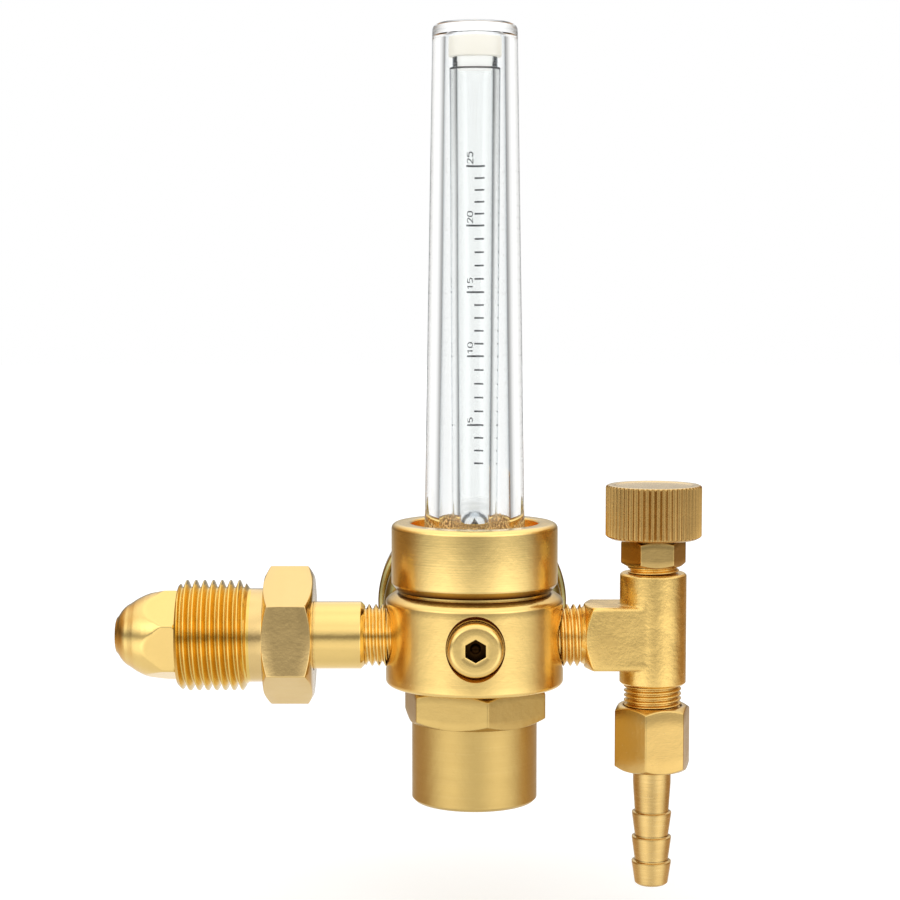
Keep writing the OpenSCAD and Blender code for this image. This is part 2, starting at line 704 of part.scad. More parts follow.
module stem_packing() color(seal_white) place_at_valve()
  tube_z(3.9, 2.05, packing_z + 0.02, 18.36);

module valve_stem() color(brass) place_at_valve() difference() {
  union() {
    rod_z(2.9, 5.1, 12.9);
    rod_z(2, 12.8, 29.4);
  }
  rod_z(1.05, 5, 8.2);
  // Flat for the set screw
  translate([-2, 1.6, 23.2]) cube([4, 1, 5.2]);
}

// Cone from the seat upwards; its closed position is at rest.
module valve_needle() color(steel) place_at_valve() union() {
  lathe_z([[-4.16, 0.5], [-1.96, 1.6], [5.05, 1.6]]);
  rod_z(1, 5, 8);
}

knob_bottom = 20.2;
set_screw_z = 25.8;
module control_knob() color(dull_brass) place_at_valve() difference() {
  lathe_z(bevelled(knob_bottom, knob_top, knob_r, [0.7, 0.7], [0.5, 0.5]));
  rod_z(2.02, knob_bottom - 1, 29.5);
  rod_y(1.25, 1.2, knob_r + 1, 0, set_screw_z);
}

module knob_set_screw() color(black) place_at_valve() difference() {
  rod_y(1.2, 1.65, 9.2, 0, set_screw_z);
  translate([0, 7.7, set_screw_z]) rotate([-90, 0, 0]) cylinder(r = 0.75, h = 1.6, $fn = 6);
}

outlet_turned = 15.6;
outlet_top = -14.6;
outlet_bottom = -28;
// Step between the outlet nut's wide and narrow bores
outlet_step = -23.2;
module outlet_nut() color(brass) place_at_valve() difference() {
  intersection() {
    hex_z(outlet_af, outlet_bottom, outlet_top, outlet_turned);
    lathe_z(bevelled(outlet_bottom, outlet_top, outlet_af / 2 + 1.2, [0.9, 1.35], [0.9, 1.5]));
  }
  rod_z(6, outlet_step, outlet_top + eps);
  rod_z(4.02, outlet_bottom - eps, outlet_step + eps);
}

barb_root_r = 3.55;
top_crest = -37.2;
crest_pitch = 5.2;
collar_z = outlet_step + 0.05;
// Three barbs, lowest first; each crest has a short full-radius land.
module hose_barb() color(brass) place_at_valve() difference() {
  lathe_z(concat([[-barb_bottom, 2.9], [-barb_bottom + 0.5, 3.4]],
    [for (i = [2:-1:0]) let (crest = top_crest - i * crest_pitch)
      each [[crest - (i == 2 ? 4.3 : 4.75), barb_root_r], [crest - 0.4, barb_r],
        [crest, barb_r], [crest + 0.05, barb_root_r]]],
    [[-36.6, barb_root_r], [-31, 3.94], [collar_z, 3.94], [collar_z, 5.6], [-20.95, 5.6]]));
  rod_z(outlet_bore_r, -barb_bottom - 1, -20);
}

module barb_seal() color(seal_white) place_at_valve() tube_z(5.6, 2.45, -20.92, -20.03);

// ---------------------------------------------------------------------------

function shown(name) = node == "all" || node == name;

if (shown("regulator_body")) regulator_body();
if (shown("bonnet")) bonnet();
if (shown("slip_ring")) slip_ring();
if (shown("diaphragm")) diaphragm();
if (shown("diaphragm_plate")) diaphragm_plate();
if (shown("backing_plate")) backing_plate();
if (shown("main_spring")) main_spring();
if (shown("spring_button")) spring_button();
if (shown("preset_screw")) preset_screw();
if (shown("nozzle")) nozzle();
if (shown("poppet")) poppet();
if (shown("poppet_seat_disc")) poppet_seat_disc();
if (shown("poppet_spring")) poppet_spring();
if (shown("inlet_nipple")) inlet_nipple();
if (shown("inlet_nut")) inlet_nut();
if (shown("inlet_filter")) inlet_filter();
if (shown("tube_retaining_ring")) tube_retaining_ring();
if (shown("tube_cover")) tube_cover();
if (shown("metering_tube")) metering_tube();
if (shown("tube_top_cap")) tube_top_cap();
if (shown("float_ball")) float_ball();
if (shown("ball_seat")) ball_seat();
if (shown("cover_o_ring")) cover_o_ring();
if (shown("metering_tube_o_ring")) metering_tube_o_ring();
if (shown("gauge_socket")) gauge_socket();
if (shown("gauge_case")) gauge_case();
if (shown("gauge_bezel")) gauge_bezel();
if (shown("gauge_lens")) gauge_lens();
if (shown("gauge_dial")) gauge_dial();
if (shown("gauge_pointer")) gauge_pointer();
if (shown("pinion_arbor")) pinion_arbor();
if (shown("sector_gear")) sector_gear();
if (shown("gauge_link")) gauge_link();
if (shown("bourdon_tube")) bourdon_tube();
if (shown("bourdon_tip")) bourdon_tip();
if (shown("movement_plates")) movement_plates();
if (shown("movement_screws")) movement_screws();
if (shown("hairspring")) hairspring();
if (shown("stop_pin")) stop_pin();
if (shown("relief_cap")) relief_cap();
if (shown("relief_gasket")) relief_gasket();
if (shown("relief_poppet")) relief_poppet();
if (shown("relief_spring")) relief_spring();
if (shown("valve_body")) valve_body();
if (shown("packing_nut")) packing_nut();
if (shown("stem_packing")) stem_packing();
if (shown("valve_stem")) valve_stem();
if (shown("valve_needle")) valve_needle();
if (shown("control_knob")) control_knob();
if (shown("knob_set_screw")) knob_set_screw();
if (shown("outlet_nut")) outlet_nut();
if (shown("hose_barb")) hose_barb();
if (shown("barb_seal")) barb_seal();
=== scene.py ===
"""A brass gas regulator with a flow tube, a gauge and an outlet valve.

Sizes are in mm in the body frame: the origin lies where the flow tube's axis crosses the port
axis, +X runs to the outlet valve, +Y to the gauge and +Z up the tube. The inlet is on -X. The
camera stands on the -Y side, so it sees the relief cap and the back of the gauge.
Outlines are lists of (s, r): the distance along a piece's axis and the radius there.
"""
import math
from typing import NamedTuple

import bmesh
import bpy
import numpy as np
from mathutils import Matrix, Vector


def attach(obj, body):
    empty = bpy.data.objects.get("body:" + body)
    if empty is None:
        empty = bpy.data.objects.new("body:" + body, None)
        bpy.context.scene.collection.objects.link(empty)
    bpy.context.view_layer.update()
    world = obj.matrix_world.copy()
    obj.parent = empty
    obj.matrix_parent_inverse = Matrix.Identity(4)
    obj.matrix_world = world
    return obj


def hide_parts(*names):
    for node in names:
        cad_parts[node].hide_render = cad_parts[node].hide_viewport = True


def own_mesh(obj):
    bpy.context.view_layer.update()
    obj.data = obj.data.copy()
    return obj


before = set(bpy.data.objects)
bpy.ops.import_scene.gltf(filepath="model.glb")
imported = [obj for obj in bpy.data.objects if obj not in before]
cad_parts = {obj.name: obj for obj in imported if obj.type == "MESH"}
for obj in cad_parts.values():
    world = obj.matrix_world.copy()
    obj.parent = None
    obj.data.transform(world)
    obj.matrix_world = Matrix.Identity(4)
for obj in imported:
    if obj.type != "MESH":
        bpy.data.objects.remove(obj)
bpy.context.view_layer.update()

MM = 0.001
BODY_X = 54.125  # the body frame's origin in the scene, in mm
VALVE_X = 37.1  # the valve's upright axis
CONE = 1.75  # radius gained per mm on the usual chamfer of a nut
INLET_END = -61.35  # the inlet nut's open end
NIPPLE_TIP = -74.4
NIPPLE_END = -12.1
DIAL_Y = 48.0  # the printed face of the dial
COVER_TAPER = ((25.7, 118), (10.3, 8.8))  # heights up the cover, and its radii there
scene = bpy.context.scene


# ----------------------------------------------------------------- outlines

def angles(count, corner=None, corners=6, width=6.0):
    """Even steps round the axis, with more of them within width degrees of a polygon's corners."""
    extra = 7
    steps = [360.0 * i / count for i in range(count)]
    if corner is not None:
        for k in range(corners):
            middle = corner + 360.0 / corners * k
            for j in range(-extra, extra + 1):
                offset = width * math.copysign(abs(j / extra) ** 1.6, j)
                steps.append((middle + offset) % 360.0)
    steps = sorted(set(round(step, 5) % 360.0 for step in steps))
    keep = [steps[0]]
    for step in steps[1:]:
        if step - keep[-1] > 0.02:
            keep.append(step)
    return np.radians(np.array(keep))


def polygon(around, across, corner, rounding, sides=6):
    """Radius of a regular polygon with rounded corners, from its width across flats."""
    half = math.pi / sides
    off = (around - math.radians(corner) + half) % (2 * half) - half
    flat_r = across / 2
    flat = flat_r / np.cos(half - np.abs(off))
    centre = (flat_r - rounding) / math.cos(half)
    square = rounding * rounding - (centre * np.sin(off)) ** 2
    curved = centre * np.cos(off) + np.sqrt(np.maximum(square, 0))
    reach = flat_r * math.tan(half) - rounding * math.tan(half)
    on_flat = flat_r * np.tan(half - np.abs(off)) <= reach
    return np.where(on_flat, flat, curved)


def smooth_min(first, second, blend):
    share = np.clip(0.5 + 0.5 * (second - first) / blend, 0, 1)
    return second * (1 - share) + first * share - blend * share * (1 - share)


def arc(s, r, radius, start, end, count):
    """Points round a centre at (s, r). Degrees are counted from +r towards +s."""
    turns = [math.radians(start + (end - start) * i / count) for i in range(count + 1)]
    return [(s + radius * math.sin(turn), r + radius * math.cos(turn)) for turn in turns]


def fillet(points, radii=0.12, count=3, loop=False):
    """Rounds the corners of an outline. radii is one number, or one per point."""
    out = []
    total = len(points)
    for i, point in enumerate(points):
        radius = radii[i] if isinstance(radii, list) else radii
        if (not loop and i in (0, total - 1)) or radius <= 0 or point[1] < 1e-6:
            out.append(point)
            continue
        point = np.array(point, float)
        back = np.array(points[i - 1], float) - point
        ahead = np.array(points[(i + 1) % total], float) - point
        back_len, ahead_len = np.linalg.norm(back), np.linalg.norm(ahead)
        back, ahead = back / back_len, ahead / ahead_len
        angle = math.acos(float(np.clip(back @ ahead, -1, 1)))
        if angle > math.radians(172):
            out.append(tuple(point))
            continue
        cut = min(radius / math.tan(angle / 2), 0.42 * back_len, 0.42 * ahead_len)
        start, end = point + back * cut, point + ahead * cut
        for k in range(count + 1):
            t = k / count
            spot = (1 - t) ** 2 * start + 2 * t * (1 - t) * point + t * t * end
            out.append((float(spot[0]), float(spot[1])))
    return out


# One turn of a screw thread: (part of the pitch, height from root 0 to crest 1)
TURN = [(0.0, 1.0), (0.055, 1.0), (0.1, 0.94), (0.2, 0.66), (0.3, 0.36), (0.38, 0.09),
        (0.42, 0.02), (0.45, 0.0), (0.55, 0.0), (0.58, 0.02), (0.62, 0.09), (0.7, 0.36),
        (0.8, 0.66), (0.9, 0.94), (0.945, 1.0)]


class Thread(NamedTuple):
    """A right-hand thread from start to end.

    lead_in and run_out are its end chamfers: (radius at the end, radius gained per mm).
    """
    start: float
    end: float
    crest: float
    root: float
    pitch: float
    phase: float
    lead_in: tuple
    run_out: tuple

    def rows(self, around):
        parts = np.array([part for part, _ in TURN])
        heights = np.array([height for _, height in TURN])
        turns = int(math.ceil((self.end - self.start) / self.pitch)) + 2
        out = []
        for i in range(turns * len(TURN) + 1):
            part = parts[i % len(TURN)] + i // len(TURN)
            # The first row lies wholly below the start and the last wholly above the end
            s = self.start - self.pitch + self.pitch * (part + around / (2 * math.pi))
            s = np.clip(s, self.start, self.end)
            u = (s - self.start) / self.pitch - around / (2 * math.pi) + self.phase
            height = np.interp(u % 1.0, np.append(parts, 1.0), np.append(heights, heights[0]))
            limit = np.minimum(self.crest, self.lead_in[0] + (s - self.start) * self.lead_in[1])
            limit = np.minimum(limit, self.run_out[0] + (self.end - s) * self.run_out[1])
            out.append((s, np.minimum(self.root + (self.crest - self.root) * height, limit)))
        return out


def crease(end, radius, slope, edge, fit, sign):
    """Three rows that soften the curve where a cone at end cuts a nut's flats."""
    s = end + sign * np.maximum(edge - radius, 0) / slope
    soft = np.minimum(fit, np.abs(s - end) * 0.45 + 1e-3)
    rows = [(s - sign * soft, edge - soft * slope), (s, edge - soft * slope * 0.30),
            (s + sign * soft * 1.3, edge)]
    return rows[::sign]


def nut_start(s, radius, slope, edge, fit):
    return [(s, np.minimum(radius, edge))] + crease(s, radius, slope, edge, fit, 1)


def flat_rows(low, high, edge):
    return [(low + (high - low) * k / 4, edge) for k in range(1, 4)]


def nut_rows(start, end, edge, fit):
    """Outer rows of a nut. start and end are (s, cone radius, radius gained per mm)."""
    rows = nut_start(*start, edge, fit)
    s, radius, slope = end
    high = s - (np.maximum(edge - radius, 0) / slope + fit * 1.3)
    rows += flat_rows(rows[-1][0], high, edge)
    rows += crease(s, radius, slope, edge, fit, -1)
    return rows + [(s, np.minimum(radius, edge))]


# ------------------------------------------------------------------- meshes

def from_body(verts):
    """Body frame in mm to scene in metres."""
    return (np.array(verts) + np.array([BODY_X, 0, 0])) * MM


def smooth(obj, sharp=38):
    mesh = obj.data
    mesh.polygons.foreach_set("use_smooth", [True] * len(mesh.polygons))
    mesh.set_sharp_from_angle(angle=math.radians(sharp))
    mesh.update()


def make(name, verts, faces, tidy=True):
    mesh = bpy.data.meshes.new(name)
    mesh.from_pydata([tuple(map(float, vert)) for vert in verts], [], faces)
    mesh.update()
    if tidy:
        bm = bmesh.new()
        bm.from_mesh(mesh)
        bmesh.ops.remove_doubles(bm, verts=bm.verts, dist=1.5e-6)
        bmesh.ops.dissolve_degenerate(bm, edges=bm.edges, dist=1e-7)
        loose = [vert for vert in bm.verts if not vert.link_faces]
        bmesh.ops.delete(bm, geom=loose, context="VERTS")
        bm.to_mesh(mesh)
        bm.free()
    obj = bpy.data.objects.new(name, mesh)
    scene.collection.objects.link(obj)
    smooth(obj)
    return obj


def loft(name, parts, around, axis="z", at=(0, 0, 0), wrap=False):
    """A skin round an axis.

    parts holds Threads and (s, r) rows, where s and r are a number or one value per angle.
    wrap joins the last row to the first.
    """
    count = len(around)
    rows, shift = [], []
    for part in parts:
        if isinstance(part, Thread):
            rows += part.rows(around)
            first, last = len(shift), len(rows) - 1
            shift += [min(i + len(TURN), last) - i for i in range(first, last + 1)]
        else:
            rows.append([np.broadcast_to(np.asarray(v, float), (count,)) for v in part])
            shift.append(0)
    verts, ids = [], []
    cos, sin = np.cos(around), np.sin(around)
    for s, r in rows:
        if float(np.max(r)) < 1e-6:
            ids.append([len(verts)] * count)
            verts.append((0.0, 0.0, float(s[0])))
        else:
            ids.append(list(range(len(verts), len(verts) + count)))
            verts += [(r[k] * cos[k], r[k] * sin[k], s[k]) for k in range(count)]
    verts = np.array(verts)
    if axis == "-y":
        verts = np.c_[verts[:, 0], -verts[:, 2], verts[:, 1]]
    else:
        verts = verts[:, {"z": [0, 1, 2], "x": [2, 0, 1], "y": [1, 2, 0]}[axis]]
    faces = []
    for i in range(len(rows) if wrap else len(rows) - 1):
        above = (i + 1) % len(rows)
        for j in range(count):
            k = (j + 1) % count
            # Inside a thread the last column meets the first one a turn further on
            a, b = (i, above) if k else (i + shift[i], above + shift[above])
            face = dict.fromkeys([ids[i][j], ids[a][k], ids[b][k], ids[above][j]])
            if len(face) > 2:
                faces.append(list(face))
    return make(name, from_body(verts + np.array(at, float)), faces)


def rod(name, start, end, radius, count, axis, at=(0, 0, 0)):
    outline = [(start, 0), (start, radius), (end, radius), (end, 0)]
    return loft(name, outline, angles(count), axis=axis, at=at)


def discard(obj):
    mesh = obj.data
    bpy.data.objects.remove(obj)
    bpy.data.meshes.remove(mesh)


def two_skins(name, outlines, around):
    """One mesh from several turned skins that meet at their ends."""
    verts, faces = [], []
    for outline in outlines:
        skin = loft(name, outline, around)
        first = len(verts)
        verts += [tuple(v.co / MM - Vector((BODY_X, 0, 0))) for v in skin.data.vertices]
        faces += [[i + first for i in face.vertices] for face in skin.data.polygons]
        discard(skin)
    return make(name, from_body(verts), faces)


def boolean(obj, tools, operation="DIFFERENCE", sharp=38):
    for tool in tools:
        modifier = obj.modifiers.new("cut", "BOOLEAN")
        modifier.operation, modifier.solver, modifier.object = operation, "EXACT", tool
        depsgraph = bpy.context.evaluated_depsgraph_get()
        mesh = bpy.data.meshes.new_from_object(obj.evaluated_get(depsgraph))
        old = obj.data
        obj.modifiers.clear()
        obj.data = mesh
        bpy.data.meshes.remove(old)
    for tool in tools:
        discard(tool)
    smooth(obj, sharp)


# ------------------------------------------------------------- shader nodes

class Wire:
    """One output of a shader node. Arithmetic and comparison of wires add Math nodes."""

    def __init__(self, tree, node, output=0):
        self.tree, self.node, self.output = tree, node, output

    def out(self, output):
        return Wire(self.tree, self.node, output)

    def clamp(self):
        """Holds this Math node's result between 0 and 1."""
        self.node.use_clamp = True
        return self

    __add__ = lambda self, other: calc("ADD", self, other)
    __radd__ = lambda self, other: calc("ADD", other, self)
    __sub__ = lambda self, other: calc("SUBTRACT", self, other)
    __rsub__ = lambda self, other: calc("SUBTRACT", other, self)
    __mul__ = lambda self, other: calc("MULTIPLY", self, other)
    __truediv__ = lambda self, other: calc("DIVIDE", self, other)
    __pow__ = lambda self, other: calc("POWER", self, other)
    __lt__ = lambda self, other: calc("LESS_THAN", self, other)
    __gt__ = lambda self, other: calc("GREATER_THAN", self, other)
    __abs__ = lambda self: calc("ABSOLUTE", self)


def node(kind, inputs=None, output=0, tree=None, **settings):
    """Adds a node to the tree its input wires are in, or to tree if it has none."""
    inputs = inputs or {}
    if tree is None:
        tree = next(v.tree for v in inputs.values() if isinstance(v, Wire))
    new = tree.nodes.new("ShaderNode" + kind)
    for key, value in settings.items():
        setattr(new, key, value)
    for key, value in inputs.items():
        socket = new.inputs[key]
        if isinstance(value, Wire):
            tree.links.new(value.node.outputs[value.output], socket)
        else:
            socket.default_value = (*value, 1.0)[:4] if socket.type == "RGBA" else value
    return Wire(tree, new, output)


def calc(operation, first, second=0.0):
    return node("Math", {0: first, 1: second}, operation=operation)


def mix(factor, first, second, blend="MIX"):
    return node("Mix", {0: factor, 6: first, 7: second}, output=2, data_type="RGBA",
                blend_type=blend)


def mix_shader(factor, first, second):
    return node("MixShader", {0: factor, 1: first, 2: second})


def ramp(factor, stops):
    """Colour ramp from (position, grey or colour) stops."""
    wire = node("ValToRGB", {0: factor})
    elements = wire.node.color_ramp.elements
    while len(elements) > 1:
        elements.remove(elements[-1])
    for i, (position, colour) in enumerate(stops):
        element = elements[0] if i == 0 else elements.new(position)
        element.position = position
        element.color = (*(colour if isinstance(colour, tuple) else (colour,) * 3), 1.0)
    return wire


def noise(vector, scale, detail, roughness=0.5):
    return node("TexNoise", {"Vector": vector, "Scale": scale, "Detail": detail,
                             "Roughness": roughness})


def bump(height, strength, distance, normal=None):
    inputs = {"Strength": strength, "Distance": distance, "Height": height}
    if normal:
        inputs["Normal"] = normal
    return node("Bump", inputs)


def stretch(vector, scale):
    return node("Mapping", {"Vector": vector, "Scale": scale})


def scaled(colour, factor):
    return node("VectorMath", {0: colour, 1: (factor,) * 3}, operation="MULTIPLY")


def split(vector):
    parts = node("SeparateXYZ", {0: vector})
    return [parts.out(i) for i in range(3)]


def object_place(tree):
    return node("TexCoord", tree=tree, output="Object")


def surface_normal(tree):
    return node("NewGeometry", tree=tree, output="Normal")


# ---------------------------------------------------------------- materials

MATERIALS = {}


def new_tree(name):
    material = bpy.data.materials.new(name)
    material.use_nodes = True
    material.node_tree.nodes.clear()
    MATERIALS[name] = material
    return material.node_tree


def recess(tree, turned, reach, shade_ramp, local, groove, socket):
    """Painted shade: 0 in crevices, which are darkened for the shade there, and 1 in the open."""
    if groove:
        # Painted shade: the lip darkens from groove[0] down to groove[1] and is dark below it, for
        # the shade in the groove
        z = turned["z"]
        span = (groove[0] - groove[1]) * MM
        return ((z - groove[1] * MM) / span).clamp() ** 1.6
    if socket:
        # Painted shade: the socket in the middle goes dark with depth
        span = (socket[0] - socket[1]) * MM
        depth = ((turned["along"] * -1.0 - socket[1] * MM) / span).clamp()
        return calc("MAXIMUM", depth ** 1.5, turned["radius"] > 2.6 * MM)
    # Painted shade from ambient occlusion: the deeper a crevice, the darker it is painted
    hidden = node("AmbientOcclusion", {"Distance": reach * MM}, tree=tree, output="AO",
                  samples=3, only_local=local)
    return ramp(hidden, shade_ramp)


def turned_places(place, axis, centre):
    """Places in the body frame and round a turning axis."""
    x, y, z = split(place)
    x = x - BODY_X * MM
    along, across, upward = {"z": (z, x, y), "x": (x, y, z), "y": (y, x, z)}[axis]
    across = across - centre[0] * MM
    upward = upward - centre[1] * MM
    radius = calc("SQRT", across * across + upward * upward)
    lines = node("CombineXYZ",
                 {0: along, 1: radius, 2: calc("ARCTAN2", across, upward) * 0.00008})
    return {"x": x, "z": z, "along": along, "radius": radius, "lines": lines}


def soft_bar_normal(tree, x, z):
    """The square bar runs softly into the valve's barrel, away from the threads."""
    bevel = node("Bevel", {"Radius": 1.1 * MM}, tree=tree, samples=6)
    where = (x > 24.5 * MM) * (abs(z) < 9.4 * MM)
    return node("Mix", {0: where, 4: surface_normal(tree), 5: bevel}, output=1,
                data_type="VECTOR")


def metal(name, base=(0.90, 0.635, 0.225), rough=0.2, axis=None, centre=(0.0, 0.0), lines=0.5,
          line_scale=5200.0, spread=0.05, blotch=0.06, stain=(0.50, 0.28, 0.07), wave=1.0,
          grain=0.0, grain_scale=900.0, aniso=0.0, reach=2.2, shade_tint=(0.10, 0.055, 0.03),
          shade_ramp=((0.08, 0.0), (0.25, 0.40), (0.45, 0.85), (0.65, 1.0)), local=False,
          groove=None, socket=None, face=None, soft=False, zone=None):
    """Metal with tool lines, uneven polish, faint stains and painted shade in its crevices.

    axis and centre place the turning lines, lines is their strength and spread the unevenness
    of the polish. blotch is the amount of stain, wave a broad unevenness and grain a cast or
    blasted relief. reach and the shade ramp set where the painted shade lies.
    """
    tree = new_tree(name)
    place = object_place(tree)
    wide = noise(place, scale=130.0, detail=4.0, roughness=0.6)
    fine = noise(place, scale=1500.0, detail=3.0, roughness=0.55)
    turned = None
    if axis:
        turned = turned_places(place, axis, centre)
        cut = noise(turned["lines"], scale=line_scale, detail=4.0, roughness=0.65)
        band = noise(turned["lines"], scale=line_scale * 0.12, detail=2.0)
    else:
        streaks = stretch(place, scale=(3000.0, 3000.0, 160.0))
        cut = noise(streaks, scale=1.0, detail=4.0, roughness=0.6)
        band = wide
    if zone:
        # Past zone[0] along -X the metal has the colour zone[1]
        base = mix(turned["x"] < zone[0] * MM, base, zone[1])
    blotches = ramp(wide, [(0.30, 0.0), (0.75, 1.0)])
    colour = mix(blotches * (blotch * 2), base, stain)
    colour = mix((cut - 0.5) * (0.35 * lines), colour, (1.0, 0.78, 0.40))
    if face:
        # Painted highlight: where the end face turns upwards it is painted lighter, in rings along
        # the turning lines
        upward = split(surface_normal(tree))[2]
        facing = ((upward - 0.7) * 4.0).clamp()
        colour = mix((facing * (0.55 + cut * 0.9)).clamp(), colour, face)
    specks = ramp(fine, [(0.66, 0.0), (0.74, 1.0)])
    colour = mix(specks * 0.10, colour, stain)
    # Painted shade: crevices are multiplied towards a dark colour
    unshaded = recess(tree, turned, reach, shade_ramp, local, groove, socket)
    colour = mix(unshaded, mix(1.0, colour, shade_tint, "MULTIPLY"), colour)

    polish = rough + (wide - 0.5) * (spread * 2)
    polish = polish + (band - 0.5) * (spread * 1.6)
    polish = (polish + specks * 0.08).clamp()

    start = soft_bar_normal(tree, turned["x"], turned["z"]) if soft else None
    normal = bump(wide, strength=1.0, distance=wave * 0.0001, normal=start)
    normal = bump(cut, strength=0.30 * lines, distance=0.00006, normal=normal)
    if grain > 0:
        grit = noise(place, scale=grain_scale, detail=6.0, roughness=0.68)
        normal = bump(grit, strength=grain, distance=0.0003, normal=normal)
    inputs = {"Base Color": colour, "Metallic": 1.0, "Roughness": polish, "Normal": normal}
    if aniso:
        inputs["Anisotropic"] = aniso
        inputs["Tangent"] = node("Tangent", tree=tree, direction_type="RADIAL",
                                 axis=axis.upper())
    node("OutputMaterial", {0: node("BsdfPrincipled", inputs)})


def plain(name, base, rough=0.5, amount=0.08, scale=300.0, bumps=0.1, second=None, glow=0.0,
          lit=None):
    """Paint, rubber, fibre and plastic: an uneven colour and sheen, and a fine surface grain. glow
    is painted light, given out as emission.
    """
    tree = new_tree(name)
    place = object_place(tree)
    wide = noise(place, scale=scale * 0.4, detail=4.0)
    fine = noise(place, scale=scale * 8, detail=5.0, roughness=0.6)
    other = second or tuple(c * 0.7 for c in base)
    colour = mix(ramp(wide, [(0.3, 0.0), (0.8, 1.0)]) * (amount * 3), base, other)
    sheen = (rough + (fine - 0.5) * 0.25).clamp()
    normal = bump(fine, strength=bumps, distance=0.00008)
    if lit:
        # Painted light: below lit[0] the colour turns paler and glows more, for the light that
        # comes in through the clear wall round it
        z = split(place)[2]
        glow = glow + (z < lit[0] * MM) * lit[1]
        colour = mix(z < lit[0] * MM, colour, (0.93, 0.92, 0.89))
    shader = node("BsdfPrincipled", {"Base Color": colour, "Roughness": sheen, "Normal": normal,
                                     "Emission Color": colour, "Emission Strength": glow})
    node("OutputMaterial", {0: shader})


def gold_foot(place, shader, foot):
    """Painted reflection: the moulding's root gets glowing gold flecks, for the brass thread round
    it seen in the plastic.
    """
    z = split(place)[2]
    y = split(place)[1]
    far = ((y + 2.0 * MM) * 120.0).clamp()
    speckle = noise(place, scale=1400.0, detail=4.0, roughness=0.65)
    edge = far * (1.9 * MM) + (speckle - 0.5) * (2.4 * MM)
    low = ((edge + foot * MM - z) * 2600.0).clamp()
    normal = bump(speckle, strength=1.0, distance=0.0015)
    fleck = mix(ramp(speckle, [(0.40, 0.0), (0.50, 0.40), (0.58, 1.0)]),
                (0.16, 0.07, 0.015), (1.0, 0.70, 0.30))
    gold = node("BsdfPrincipled", {"Base Color": fleck, "Metallic": 1.0, "Roughness": 0.2,
                                   "Normal": normal, "Emission Color": fleck,
                                   "Emission Strength": 0.42})
    return mix_shader(low * 0.9, shader, gold)


def milky_bore(place, shader, back, glow_span):
    """Painted light: the +Y side of the bore glows white between the two given heights, with fine
    level streaks.
    """
    x, y, z = split(place)
    x = x - BODY_X * MM
    radius = calc("SQRT", x * x + y * y)
    where = (radius < 4.0 * MM) * (1.0 - back)
    where = where * ((y - 0.2 * MM) * 2000.0).clamp()
    where = where * ((glow_span[1] * MM - z) * 800.0).clamp()
    where = where * (z > glow_span[0] * MM)
    streaks = noise(stretch(place, scale=(150.0, 150.0, 1900.0)), scale=1.0, detail=3.0)
    white = mix(ramp(streaks, [(0.42, 0.0), (0.62, 1.0)]), (0.93, 0.93, 0.92),
                (0.80, 0.81, 0.80))
    return mix_shader(where * 0.92, shader, node("Emission", {"Color": white}))


def dark_seam(place, shader, wide, bore_end_height):
    """Painted shade: a thin dark line is laid round the moulding where the bore ends."""
    z = split(place)[2]
    near = abs(z - bore_end_height * MM) < 0.13 * MM
    mark = node("BsdfTransparent", {"Color": mix(wide, (0.10, 0.09, 0.085), (0.20, 0.19, 0.18))})
    return mix_shader(near * 0.8, shader, mark)


def clear(name, ior=1.50, foot=None, bore_end_height=None, glow_span=None):
    """Clear moulded plastic with flow marks and scuffs. The last three arguments are heights of
    painted light and shade.
    """
    tint = (0.99, 0.994, 0.992)
    tree = new_tree(name)
    place = object_place(tree)
    wide = noise(place, scale=220.0, detail=2.0)
    flow = noise(stretch(place, scale=(500.0, 500.0, 12.0)), scale=1.0, detail=2.0)
    normal = bump(flow, strength=1.0, distance=0.00002)
    colour = mix(wide, tint, tuple(c * 0.995 for c in tint))
    scuffs = ramp(wide, [(0.62, 0.0), (0.8, 1.0)]) * 0.02
    through = node("BsdfRefraction", {"Color": colour, "Roughness": scuffs, "IOR": ior,
                                      "Normal": normal})
    back = node("NewGeometry", tree=tree, output="Backfacing")
    sheen = node("BsdfAnisotropic", {"Color": mix(back, (0.78, 0.83, 0.88), (1.0, 1.0, 1.0)),
                                     "Roughness": scuffs, "Normal": normal})
    shader = mix_shader(node("Fresnel", {"IOR": ior, "Normal": normal}), through, sheen)
    if foot:
        shader = gold_foot(place, shader, foot)
    if glow_span:
        shader = milky_bore(place, shader, back, glow_span)
    if bore_end_height:
        shader = dark_seam(place, shader, wide, bore_end_height)
    node("OutputMaterial", {0: shader})


THREADED = ((0.0, 0.35), (0.30, 0.80), (0.50, 1.0))  # lighter painted shade in the crevices of threaded pieces
ON_VALVE = {"axis": "z", "centre": (VALVE_X, 0)}

metal("body_brass", rough=0.20, axis="z", lines=0.55, blotch=0.03, aniso=0.2,
      shade_ramp=((0.0, 0.15), (0.25, 0.50), (0.45, 0.90), (0.62, 1.0)))
